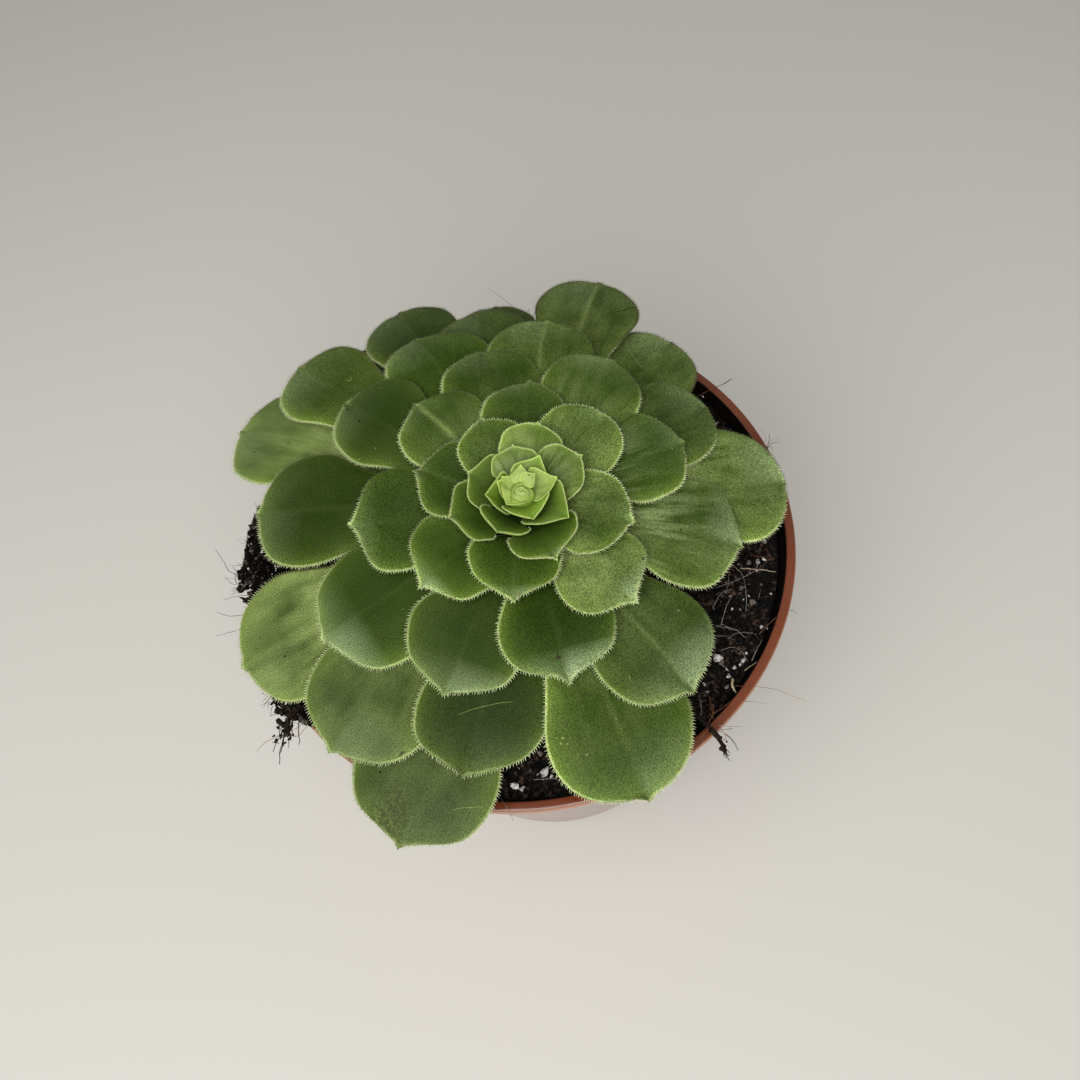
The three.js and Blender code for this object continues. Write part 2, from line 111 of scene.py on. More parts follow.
class Painter:
    """Builds the node tree of one material."""

    def __init__(self, name: str) -> None:
        """Starts an empty material.

        Args:
            name: The material's name.
        """
        self.material = bpy.data.materials.new(name)
        self.material.use_nodes = True
        self.tree = self.material.node_tree
        self.tree.nodes.clear()

    def plug(self, socket: bpy.types.NodeSocket, value: object) -> None:
        """Links a field to a socket, or sets the socket's own value.

        Args:
            socket: The input socket.
            value: A field, or a steady value.
        """
        if isinstance(value, Field):
            self.tree.links.new(value.socket, socket)
        else:
            socket.default_value = value

    def node(
        self,
        kind: str,
        settings: Optional[dict] = None,
        inputs: Optional[dict] = None,
        output: Union[int, str] = 0,
    ) -> Field:
        """Adds a node.

        Args:
            kind: The node's type.
            settings: Properties set first; "stops" holds a ramp's (place, colour) pairs.
            inputs: Values or fields by the socket's name or index.
            output: The output to return.

        Returns:
            The chosen output.
        """
        made = self.tree.nodes.new(kind)
        for name, value in (settings or {}).items():
            if name == "stops":
                self._set_stops(made.color_ramp, value)
            else:
                setattr(made, name, value)
        for name, value in (inputs or {}).items():
            self.plug(made.inputs[name], value)
        return Field(self, made.outputs[output])

    @staticmethod
    def _set_stops(ramp: bpy.types.ColorRamp, stops: Sequence[tuple[float, Colour]]) -> None:
        """Writes a ramp's stops.

        Args:
            ramp: The ramp of a node.
            stops: Places with their colours.
        """
        while len(ramp.elements) < len(stops):
            ramp.elements.new(1.0)
        for element, (place, colour) in zip(ramp.elements, stops):
            element.position = place
            element.color = colour

    def mark(self, name: str) -> Field:
        """A number carried by the mesh's points."""
        return self.node("ShaderNodeAttribute", {"attribute_name": name}, output="Fac")

    def place(self, name: str) -> Field:
        """A vector carried by the mesh's points."""
        return self.node("ShaderNodeAttribute", {"attribute_name": name}, output="Vector")

    def stretch(self, vector: Field, by: Point) -> Field:
        """The vector with each part multiplied."""
        return self.node("ShaderNodeVectorMath", {"operation": "MULTIPLY"}, {0: vector, 1: by})

    def noise(self, vector: Field, scale: float, detail: float = 2.0, roughness: float = 0.5) -> Field:
        """Fractal noise from 0 to 1 with a mean of a half."""
        inputs = {"Vector": vector, "Scale": scale, "Detail": detail, "Roughness": roughness}
        return self.node("ShaderNodeTexNoise", None, inputs, "Fac")

    def ramp(self, factor: object, stops: Sequence[tuple[float, Colour]]) -> Field:
        """A colour ramp."""
        return self.node("ShaderNodeValToRGB", {"stops": stops}, {"Fac": factor})

    def window(self, value: Field, low: float, high: float) -> Field:
        """Goes from 0 at low to 1 at high and is held beyond."""
        inputs = {"Value": value, "From Min": low, "From Max": high}
        return self.node("ShaderNodeMapRange", {"clamp": True}, inputs)

    def mix(self, first: object, second: object, factor: object, blend: str = "MIX") -> Field:
        """Mixes two colours."""
        settings = {"data_type": "RGBA", "blend_type": blend, "clamp_factor": True}
        return self.node("ShaderNodeMix", settings, {0: factor, 6: first, 7: second}, 2)

    def shade(self, colour: object, value: Field) -> Field:
        """Multiplies a colour by a number."""
        return self.mix(colour, value, 1.0, "MULTIPLY")

    def bump(self, height: Field, distance_mm: float) -> Field:
        """A normal from a height field."""
        return self.node("ShaderNodeBump", None, {"Height": height, "Distance": distance_mm * MM})

    def finish(
        self, colour: object, roughness: object, normal: Optional[Field] = None, **steady: object
    ) -> bpy.types.Material:
        """Closes the tree with a Principled shader.

        Args:
            colour: Base colour.
            roughness: Roughness.
            normal: Bumped normal, if any.
            **steady: Values that are the same all over, by socket name with _ for a space.

        Returns:
            The material.
        """
        inputs = {"Base Color": colour, "Roughness": roughness}
        if normal is not None:
            inputs["Normal"] = normal
        for name, value in steady.items():
            inputs[name.replace("_", " ")] = value
        surface = self.node("ShaderNodeBsdfPrincipled", None, inputs)
        output = self.tree.nodes.new("ShaderNodeOutputMaterial")
        self.plug(output.inputs["Surface"], surface)
        return self.material


# Finishes
@dataclass(frozen=True)
class LeafFinish:
    """Velvety green that is lighter along the margin, most where the margin gets painted light, and
    yellow-green in young leaves.
    """

    ages: tuple = (
        (0.0, rgb(0.46, 0.57, 0.19)),
        (0.03, rgb(0.22, 0.35, 0.040)),
        (0.06, rgb(0.085, 0.17, 0.008)),
        (0.12, rgb(0.045, 0.098, 0.004)),
        (0.22, rgb(0.026, 0.062, 0.0024)),
        (0.4, rgb(0.0140, 0.035, 0.0010)),
        (0.7, rgb(0.0145, 0.032, 0.0010)),
        (1.0, rgb(0.018, 0.035, 0.0026)),
    )
    # pale and silver are also the colours of painted highlights and of the light on each blade's tilt
    pale: Colour = rgb(0.24, 0.31, 0.095)
    silver: Colour = rgb(0.30, 0.37, 0.17)
    # margin and lip are laid on most where the margin gets painted light
    margin: Colour = rgb(0.155, 0.235, 0.032)
    lip: Colour = rgb(0.53, 0.64, 0.27)
    young_lip: Colour = rgb(0.46, 0.60, 0.14)
    # down is the colour of the pale dots and of the painted highlight at the tips
    down: Colour = rgb(0.40, 0.50, 0.29)
    back: Colour = rgb(0.13, 0.19, 0.06)
    rust: Colour = rgb(0.030, 0.022, 0.012)
    weathered_and_shaded: Colour = rgb(0.060, 0.050, 0.022)
    grain_scale: float = 4.2
    patch_scale: float = 0.11
    speck_scale: float = 0.8
    dot_scale: float = 1.3
    freckle_scale: float = 1.5
    margin_width: float = 2.6
    lip_width: float = 0.7
    rib_sharpness: float = 2.5
    relief_mm: float = 0.1
    specular: float = 0.13

    def make(self, name: str) -> bpy.types.Material:
        """Builds the leaf material.

        Args:
            name: The material's name.

        Returns:
            The material.
        """
        p = Painter(name)
        grain = p.place("grain")
        fine = p.noise(grain, self.grain_scale, 2.0, 0.7)
        patch = p.noise(grain, self.patch_scale, 2.0)
        streak = p.noise(p.place("fan"), 1.0, 3.0)
        colour = p.ramp(p.mark("age"), self.ages)
        colour = self._silver(p, colour, patch, streak)
        colour = self._margin(p, colour, patch)
        colour = self._tip(p, colour, patch, streak)
        grown = p.window(p.mark("age"), 0.0, 0.2)
        speckle = (p.window(fine, 0.33, 0.67) - 0.5) * (0.45 + 0.85 * grown)
        # tone lightens or darkens whole blades: partly their own colour, partly painted light and shade
        colour = p.shade(colour, p.mark("tone") * (1.05 + speckle))
        colour = self._spots(p, colour, grain)
        colour = p.mix(colour, self.back, p.mark("lower") * 0.8)
        return p.finish(
            colour,
            0.48 + 0.2 * fine,
            p.bump(fine, self.relief_mm),
            Sheen_Weight=0.01,
            Sheen_Roughness=0.4,
            Sheen_Tint=rgb(0.8, 1.0, 0.6),
            Specular_IOR_Level=self.specular,
        )

    def _silver(self, p: Painter, colour: Field, patch: Field, streak: Field) -> Field:
        """Silvery patches, creases that run out from the foot, and the midrib: the patches and crease lines
        are mostly painted highlights, and each blade's pale share partly paints the light on its tilt.

        Args:
            p: The painter.
            colour: Colour so far.
            patch: Broad noise.
            streak: Noise drawn out along the blade.

        Returns:
            The new colour.
        """
        base_side = 1 - p.window(p.mark("along"), 0.45, 0.85)
        silver = p.window(patch * 0.7 + streak * 0.3, 0.34, 0.62) * (0.3 + 0.7 * base_side)
        colour = p.mix(colour, self.pale, p.mark("pale") * (0.1 + 0.9 * silver))
        # Painted highlight along the furrows
        crease = p.window(streak, 0.46, 0.6) * base_side * p.mark("furrow")
        colour = p.mix(colour, self.silver, crease * 0.4)
        across = p.mark("across")
        rib = math.e ** (across * across * -self.rib_sharpness) * p.mark("rib")
        return p.mix(colour, self.pale, rib * (0.3 + 0.7 * streak))

    def _margin(self, p: Painter, colour: Field, patch: Field) -> Field:
        """The lighter margin with its thin pale lip, laid on most where the margin gets painted light; on
        old blades the edge turned away from the light is browned, partly weathering and partly painted
        shade.

        Args:
            p: The painter.
            colour: Colour so far.
            patch: Broad noise.

        Returns:
            The new colour.
        """
        grown = p.window(p.mark("age"), 0.08, 0.4)
        edge, glow = p.mark("edge") * (1.7 - 0.7 * grown), p.mark("glow")
        colour = p.shade(colour, 1 - p.window(edge, 0.6, 4.0) * (1 - grown) * 0.3)
        wide = math.e ** (edge * (-1 / self.margin_width))
        narrow = math.e ** (edge * (-1 / self.lip_width))
        # The margin band and the lip grow with glow: painted light on the side towards the light
        rim = (wide * 0.55 + narrow * 0.45) * (0.22 + 0.6 * glow) * (0.5 + 0.8 * patch)
        colour = p.mix(colour, self.margin, rim)
        lip = p.mix(self.young_lip, self.lip, grown)
        colour = p.mix(colour, lip, p.window(edge, 0.6, 0.1) * glow * (0.9 - 0.25 * grown))
        # Old blades' edges turned away from the light get the brown: partly weathering, partly painted shade
        old = p.window(p.mark("age"), 0.55, 0.8) * (1 - glow)
        return p.mix(colour, self.weathered_and_shaded, p.window(edge, 0.7, 0.1) * old)

    def _tip(self, p: Painter, colour: Field, patch: Field, streak: Field) -> Field:
        """The whitish waxy coat close to the point, stronger on one side: partly the leaf's own colour,
        partly a painted highlight.

        Args:
            p: The painter.
            colour: Colour so far.
            patch: Broad noise.
            streak: Noise drawn out along the blade.

        Returns:
            The new colour.
        """
        one_side = 0.35 + 0.65 * p.window(p.mark("across"), -0.6, 0.8)
        tip = p.window(p.mark("along"), 0.76, 0.98) * one_side
        bloom = p.mark("bloom") * tip * (0.3 + 0.9 * patch + 0.3 * streak)
        return p.mix(colour, self.down, bloom)

    def _spots(self, p: Painter, colour: Field, grain: Field) -> Field:
        """Dark specks, pale dots and the browning of old blades.

        Args:
            p: The painter.
            colour: Colour so far.
            grain: The blade's own coordinates.

        Returns:
            The new colour.
        """
        speck = p.window(p.noise(grain, self.speck_scale, 0.0), 0.845, 0.865)
        colour = p.mix(colour, self.rust, speck * 0.8)
        dot = p.window(p.noise(grain, self.dot_scale, 0.0), 0.885, 0.9)
        colour = p.mix(colour, self.down, dot * 0.45)
        rust = p.mark("rust")
        freckle = p.window(p.noise(grain, self.freckle_scale, 4.0, 0.7) + rust * 0.25, 0.6, 0.78)
        return p.mix(colour, self.rust, freckle * p.window(rust, 0.02, 0.5) * 0.7)


@dataclass(frozen=True)
class HairFinish:
    """Hairs along the leaf margins, pale where the margin gets painted light and green where it gets painted
    shade.
    """

    green: Colour = rgb(0.085, 0.12, 0.03)
    white: Colour = rgb(0.74, 0.83, 0.46)

    def make(self, name: str) -> bpy.types.Material:
        """Builds the hair material.

        Args:
            name: The material's name.

        Returns:
            The material.
        """
        p = Painter(name)
        colour = p.mix(self.green, self.white, p.mark("tone"))
        return p.finish(colour, 0.45, Specular_IOR_Level=0.4)


@dataclass(frozen=True)
class PotFinish:
    """Brown-orange satin plastic with a little wear, flecked and coated with peat inside; the inner wall is
    darkened nearly to black, partly peat and partly painted shade.
    """

    plastic: Colour = rgb(0.145, 0.034, 0.013)
    worn: Colour = rgb(0.23, 0.068, 0.030)
    lit: Colour = rgb(0.62, 0.33, 0.2)
    dust_and_shade: Colour = rgb(0.004, 0.003, 0.0026)
    cloud_scale: float = 0.07
    scuff_scale: float = 0.5
    scuff_stretch: Point = (1.0, 1.0, 5.0)
    crumb_scale: float = 0.9
    fleck_scale: float = 1.3
    relief_mm: float = 0.02
    specular: float = 0.7

    def make(self, name: str) -> bpy.types.Material:
        """Builds the pot material.

        Args:
            name: The material's name.

        Returns:
            The material.
        """
        p = Painter(name)
        here = p.place("grain")
        cloud = p.noise(here, self.cloud_scale, 3.0)
        scuff = p.noise(p.stretch(here, self.scuff_stretch), self.scuff_scale, 4.0)
        crumb = p.noise(here, self.crumb_scale, 2.0)
        wear = p.window(cloud, 0.35, 0.75) * 0.5 + p.window(scuff, 0.55, 0.8) * 0.3
        colour = p.mix(self.plastic, self.worn, wear)
        colour = p.mix(colour, self.lit, p.mark("lip") * 0.5)
        # The inside goes near black: peat residue and painted shade
        dirt_and_shade = p.mark("inside") * (0.8 + 0.2 * p.window(crumb, 0.1, 0.42))
        fleck = p.window(p.noise(here, self.fleck_scale, 0.0), 0.8, 0.83)
        colour = p.mix(colour, self.dust_and_shade, dirt_and_shade)
        colour = p.mix(colour, self.dust_and_shade, fleck * 0.7)
        roughness = 0.08 + 0.12 * scuff + 0.8 * dirt_and_shade
        relief = p.bump(scuff, self.relief_mm)
        return p.finish(colour, roughness, relief, Specular_IOR_Level=self.specular)


@dataclass(frozen=True)
class PeatFinish:
    """Near-black peat with brown fibres and a few light crumbs, which are partly pale crumbs and partly
    painted glints.
    """

    dark: Colour = rgb(0.0018, 0.0014, 0.0014)
    brown: Colour = rgb(0.19, 0.12, 0.085)
    light: Colour = rgb(0.44, 0.38, 0.33)
    roughness: float = 0.6
    specular: float = 0.22
    fibre_scale: float = 0.9
    clump_scale: float = 0.17
    relief_mm: float = 1.4

    def make(self, name: str) -> bpy.types.Material:
        """Builds the peat material.

        Args:
            name: The material's name.

        Returns:
            The material.
        """
        p = Painter(name)
        here = p.place("grain")
        fibre = p.noise(here, self.fibre_scale, 5.0, 0.8)
        tone = p.mark("tone")
        clump = p.window(p.noise(here, self.clump_scale, 2.0), 0.42, 0.62)
        threads = p.window(fibre, 0.52, 0.6) * (0.12 + 0.75 * clump)
        brown_crumbs = p.window(tone, 0.72, 1.0) * (0.35 + 0.5 * clump)
        colour = p.mix(self.dark, self.brown, threads + brown_crumbs)
        # Light crumbs: partly pale grains, partly painted glints
        colour = p.mix(colour, self.light, p.window(tone, 0.9, 0.92) * p.window(fibre, 0.4, 0.55))
        relief = p.bump(fibre, self.relief_mm)
        return p.finish(colour, self.roughness, relief, Specular_IOR_Level=self.specular)


@dataclass(frozen=True)
class PlainFinish:
    """One colour broken up by a darker one."""

    light: Colour
    dark: Colour
    roughness: float = 0.8
    scale: float = 1.2
    relief_mm: float = 0.1
    specular: float = 0.3

    def make(self, name: str) -> bpy.types.Material:
        """Builds the material.

        Args:
            name: The material's name.

        Returns:
            The material.
        """
        p = Painter(name)
        cloud = p.noise(p.place("grain"), self.scale, 3.0)
        colour = p.mix(self.light, self.dark, p.window(cloud, 0.38, 0.68))
        relief = p.bump(cloud, self.relief_mm)
        return p.finish(colour, self.roughness, relief, Specular_IOR_Level=self.specular)


class Slot(Enum):
    """Names for material slots; nothing below uses them."""

    LEAF = "leaf"
    YOUNG_LEAF = "young_leaf"
    STEM = "stem"
    PEAT = "peat"
    ROOT = "root"
    POT = "pot"


class Palette:
    """Every material of the object, made once."""

    def __init__(self) -> None:
        """Makes the materials."""
        self.leaf = LeafFinish().make("velvety_leaf")
        self.hair = HairFinish().make("margin_hair")
        self.pot = PotFinish().make("pot_plastic")
        self.peat = PeatFinish().make("peat")
        # A darker copy of the peat for the spilled heaps, which the light reaches more: painted shade
        self.shaded_spill = PeatFinish(
            brown=rgb(0.065, 0.040, 0.028), light=rgb(0.20, 0.17, 0.14), specular=0.1
        ).make("spilled_peat")
        self.grain = PlainFinish(
            rgb(0.74, 0.73, 0.70), rgb(0.20, 0.18, 0.15), roughness=0.9, scale=1.6, relief_mm=0.4
        ).make("perlite")
        # Near-black finish of the inner wall: peat residue and painted shade
        self.wall_dust_and_shade = PlainFinish(
            rgb(0.009, 0.0035, 0.0028), rgb(0.003, 0.0018, 0.0016), roughness=0.95, scale=0.4, specular=0.05
        ).make("wall_dust_and_shade")
        self.scar = PlainFinish(rgb(0.26, 0.33, 0.10), rgb(0.13, 0.20, 0.045), 0.6, 1.5).make("healed_scar")
        self.grey_root = PlainFinish(rgb(0.36, 0.33, 0.30), rgb(0.16, 0.13, 0.115), 0.6).make("grey_root")
        self.straw = PlainFinish(rgb(0.50, 0.45, 0.28), rgb(0.28, 0.22, 0.12), 0.6).make("straw")
        self.russet_root = PlainFinish(
            rgb(0.26, 0.11, 0.05), rgb(0.10, 0.045, 0.022), 0.65
        ).make("russet_root")
        self.dark_root = PlainFinish(
            rgb(0.026, 0.016, 0.011), rgb(0.006, 0.0045, 0.004), 0.8, specular=0.12
        ).make("dark_root")
        self.stem = PlainFinish(
            rgb(0.16, 0.14, 0.06), rgb(0.06, 0.042, 0.025), roughness=0.8, scale=0.5, relief_mm=0.5
        ).make("stem_bark")


# Meshes
@dataclass
class Shape:
    """Points in millimetres, the faces between them and values that the points carry."""

    points: np.ndarray
    faces: list
    marks: dict = field(default_factory=dict)

    @staticmethod
    def joined(shapes: Sequence["Shape"]) -> "Shape":
        """Puts shapes together as one.

        Args:
            shapes: The shapes.

        Returns:
            One shape with the marks that they all carry.
        """
        starts = np.cumsum([0] + [len(s.points) for s in shapes])
        faces = [tuple(i + start for i in f) for s, start in zip(shapes, starts) for f in s.faces]
        names = set.intersection(*(set(s.marks) for s in shapes))
        marks = {n: np.concatenate([s.marks[n] for s in shapes]) for n in sorted(names)}
        return Shape(np.concatenate([s.points for s in shapes]), faces, marks)

    def moved(self, matrix: np.ndarray) -> "Shape":
        """The shape under a 4 by 4 matrix."""
        points = self.points @ matrix[:3, :3].T + matrix[:3, 3]
        return Shape(points, self.faces, self.marks)

    def without_marks(self) -> "Shape":
        """The bare shape."""
        return Shape(self.points, self.faces)

    def with_grain(self) -> "Shape":
        """The shape with its own points kept as texture coordinates."""
        self.marks["grain"] = self.points.copy()
        return self

    def mesh(self, name: str) -> bpy.types.Mesh:
        """A mesh in metres that carries the marks.

        Args:
            name: The mesh's name.

        Returns:
            The mesh.
        """
        made = bpy.data.meshes.new(name)
        made.from_pydata((self.points * MM).tolist(), [], self.faces)
        for mark, values in self.marks.items():
            kind, key = ("FLOAT", "value") if values.ndim == 1 else ("FLOAT_VECTOR", "vector")
            layer = made.attributes.new(mark, kind, "POINT")
            layer.data.foreach_set(key, values.astype(np.float32).ravel())
        return made


def placed(name: str, data: bpy.types.ID) -> bpy.types.Object:
    """A new object in the scene.

    Args:
        name: The object's name.
        data: Its mesh, light or camera.

    Returns:
        The object.
    """
    made = bpy.data.objects.new(name, data)
    bpy.context.scene.collection.objects.link(made)
    return made


def dress(
    shape: Shape,
    name: str,
    material: bpy.types.Material,
    stands_for: Iterable[str] = (),
    flat: bool = False,
) -> bpy.types.Object:
    """Makes an object of a shape and fits it to the part.

    Args:
        shape: The shape in millimetres.
        name: The object's name.
        material: Its finish.
        stands_for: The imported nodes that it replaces.
        flat: True for faceted shading.

    Returns:
        The object.
    """
    mesh = shape.mesh(name)
    mesh.polygons.foreach_set("use_smooth", [not flat] * len(mesh.polygons))
    mesh.materials.append(material)
    mesh.update()
    piece = placed(name, mesh)
    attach(piece, "root")
    nodes = tuple(stands_for)
    if nodes:
        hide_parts(*nodes)
    LOG.info("%s: %d points, %d faces", name, len(shape.points), len(shape.faces))
    return piece


def fractal(points: np.ndarray, scale: float, octaves: int = 4) -> np.ndarray:
    """Fractal noise at each point, about -1 to 1."""
    return np.array([noise.fractal(Vector(p) * scale, 1.0, 2.0, octaves) for p in points])


def icosahedron() -> tuple[np.ndarray, list]:
    """Points and faces of an icosahedron of radius 1.

    Returns:
        The twelve points and the twenty faces.
    """
    g = (1 + math.sqrt(5)) / 2
    corners = [
        (-1, g, 0), (1, g, 0), (-1, -g, 0), (1, -g, 0), (0, -1, g), (0, 1, g),
        (0, -1, -g), (0, 1, -g), (g, 0, -1), (g, 0, 1), (-g, 0, -1), (-g, 0, 1),
    ]
    faces = [
        (0, 11, 5), (0, 5, 1), (0, 1, 7), (0, 7, 10), (0, 10, 11), (1, 5, 9), (5, 11, 4),
        (11, 10, 2), (10, 7, 6), (7, 1, 8), (3, 9, 4), (3, 4, 2), (3, 2, 6), (3, 6, 8),
        (3, 8, 9), (4, 9, 5), (2, 4, 11), (6, 2, 10), (8, 6, 7), (9, 8, 1),
    ]
    return np.array(corners, float) / math.hypot(1, g), faces


def clods(
    centres: np.ndarray, radii: np.ndarray, rng: np.random.Generator, rough: float, flatten: float
) -> Shape:
    """Small irregular lumps.

    Args:
        centres: Their centres.
        radii: Their radii.
        rng: Random generator.
        rough: How far a corner may move, as a share of the radius.
        flatten: Mean height over width.

    Returns:
        All lumps as one shape.
    """
    base, faces = icosahedron()
    count = len(centres)
    corners = base[None] * (1 + rough * rng.uniform(-1, 1, (count, len(base), 1)))
    corners = corners * rng.uniform(flatten, 1.25, (count, 1, 3))
    turn = rng.normal(size=(count, 3, 3))
    turn, _ = np.linalg.qr(turn)
    turn *= np.sign(np.linalg.det(turn))[:, None, None]
    corners = np.einsum("nij,nkj->nki", turn, corners) * radii[:, None, None] + centres[:, None]
    steps = np.arange(count) * len(base)
    rows = (np.array(faces)[None] + steps[:, None, None]).reshape(-1, 3)
    tone = np.repeat(rng.uniform(0, 1, count), len(base))
    return Shape(corners.reshape(-1, 3), [tuple(r) for r in rows.tolist()], {"tone": tone})


def curve_through(points: Sequence[Sequence[float]], steps: int) -> np.ndarray:
    """A smooth line through points, with a number of steps between each two.

    Args:
        points: Points that the line passes.
        steps: Steps between each two.

    Returns:
        The line's points.
    """
    knots = np.array(points, float)
    padded = np.vstack([2 * knots[0] - knots[1], knots, 2 * knots[-1] - knots[-2]])
    line = []
    for i in range(1, len(padded) - 2):
        a, b, c, d = padded[i - 1:i + 3]
        square, cube = 2 * a - 5 * b + 4 * c - d, 3 * b - a - 3 * c + d
        for t in np.arange(steps) / steps:
            line.append(0.5 * (2 * b + (c - a) * t + square * t**2 + cube * t**3))
    line.append(knots[-1])
    return np.array(line)


def ring_faces(rings: int, sides: int, turned_over: bool = False) -> list:
    """Four-sided faces between closed rings of points that follow each other.

    Args:
        rings: Number of rings.
        sides: Points in each.
        turned_over: True to face the other way.

    Returns:
        The faces.
    """
    faces = []
    for r in range(rings - 1):
        for k in range(sides):
            here, beside = r * sides + k, r * sides + (k + 1) % sides
            if turned_over:
                faces.append((here, here + sides, beside + sides, beside))
            else:
                faces.append((here, beside, beside + sides, here + sides))
    return faces


def thread(line: np.ndarray, radii: np.ndarray, sides: int = 5) -> Shape:
    """A round thread along a line, closed at both ends.

    Args:
        line: Points of its middle.
        radii: Radius at each.
        sides: Sides of the section.

    Returns:
        The thread.
    """
    ahead = np.gradient(line, axis=0)
    ahead /= np.linalg.norm(ahead, axis=1)[:, None] + 1e-9
    side = np.cross(ahead, np.array([0.31, 0.17, 0.93]))
    side /= np.linalg.norm(side, axis=1)[:, None] + 1e-9
    other = np.cross(ahead, side)
    angle = np.arange(sides) / sides * 2 * math.pi
    ring = side[:, None] * np.cos(angle)[None, :, None] + other[:, None] * np.sin(angle)[None, :, None]
    points = (line[:, None] + ring * radii[:, None, None]).reshape(-1, 3)
    faces = ring_faces(len(line), sides)
    last = (len(line) - 1) * sides
    faces.append(tuple(range(sides - 1, -1, -1)))
    faces.append(tuple(range(last, last + sides)))
    return Shape(points, faces)


def turned(profile: np.ndarray, sides: int) -> Shape:
    """A turned body from (radius, height) pairs that start and end on the axis.

    Args:
        profile: The pairs.
        sides: Points round the axis.

    Returns:
        The closed body.
    """
    angle = np.arange(sides) / sides * 2 * math.pi
    inner = profile[1:-1]
    radii, heights = inner[:, :1], np.repeat(inner[:, 1:], sides, 1)
    rings = np.stack([radii * np.cos(angle), radii * np.sin(angle), heights], -1)
    ends = np.array([(0, 0, profile[0, 1]), (0, 0, profile[-1, 1])])
    points = np.vstack([rings.reshape(-1, 3), ends])
    first, last = len(points) - 2, len(points) - 1
    faces = []
    for k in range(sides):
        j = (k + 1) % sides
        faces.append((first, j, k))
        for r in range(len(inner) - 1):
            a = r * sides
            faces.append((a + k, a + j, a + sides + j, a + sides + k))
        a = (len(inner) - 1) * sides
        faces.append((a + k, a + j, last))
    return Shape(points, faces)


# The rosette
@dataclass(frozen=True)
class Dome:
    """Nested shells: the leaf of number n in the spiral lies on shell n."""

    top: float = 139.5
    drop: float = 12.0
    span: float = 60.0
    hollow_depth: float = 6.5
    hollow_radius: float = 8.0
    step_far: float = 0.24
    step_stem: float = 0.4
    stem_fade: float = 18.0
    stem_at: float = 8.0
    step_apex: float = 0.6
    apex_fade: float = 3.8
    centre: Point = (0.9, -3.0, 100.0)
    lean: float = math.radians(5)
    lean_towards: float = math.radians(-55)

    def height(self, number: float, distance: np.ndarray) -> np.ndarray:
        """Height of a shell at a distance from the axis.

        Args:
            number: The shell's number.
            distance: Distances from the axis.

        Returns:
            Heights in the rosette's frame.
        """
        fall = self.drop * (distance / self.span) ** 2
        hollow = self.hollow_depth * np.exp(-((distance / self.hollow_radius) ** 2))
        step = self.step_far + self.step_stem * np.exp((self.stem_at - distance) / self.stem_fade)
        step = step + self.step_apex * np.exp(-((distance / self.apex_fade) ** 2))
        return self.top - fall - hollow - number * step

    def slope(self, number: float, distance: np.ndarray) -> np.ndarray:
        """Slope of a shell away from the axis."""
        half = 0.05
        return (self.height(number, distance + half) - self.height(number, distance - half)) / (2 * half)

    def foot(self, number: float) -> float:
        """Distance from the axis at which a leaf leaves the stem."""
        return 1.3 + 6.7 * (1 - math.exp(-number / 14))

    def sway(self, x: np.ndarray, y: np.ndarray) -> np.ndarray:
        """Gentle unevenness that all shells share, so that neighbours stay clear.

        Args:
            x: Places in plan.
            y: Places in plan.

        Returns:
            What is added to the height there.
        """
        rise = 0.30 * np.sin(0.21 * x + 0.13 * y + 0.4) + 0.26 * np.sin(-0.12 * x + 0.24 * y + 2.1)
        rise = rise + 0.10 * np.sin(0.47 * x - 0.36 * y + 1.1)
        return rise * smooth(np.hypot(x, y) / 25.0)

    def to_part(self) -> np.ndarray:
        """Matrix from the rosette's upright frame to the part.

        Returns:
            The matrix, 4 by 4.
        """
        hinge = Vector((-math.sin(self.lean_towards), math.cos(self.lean_towards), 0.0))
        move = Matrix.Translation(self.centre)
        down = Matrix.Translation((0.0, 0.0, -self.centre[2]))
        return np.array(move @ Matrix.Rotation(self.lean, 4, hinge) @ down)


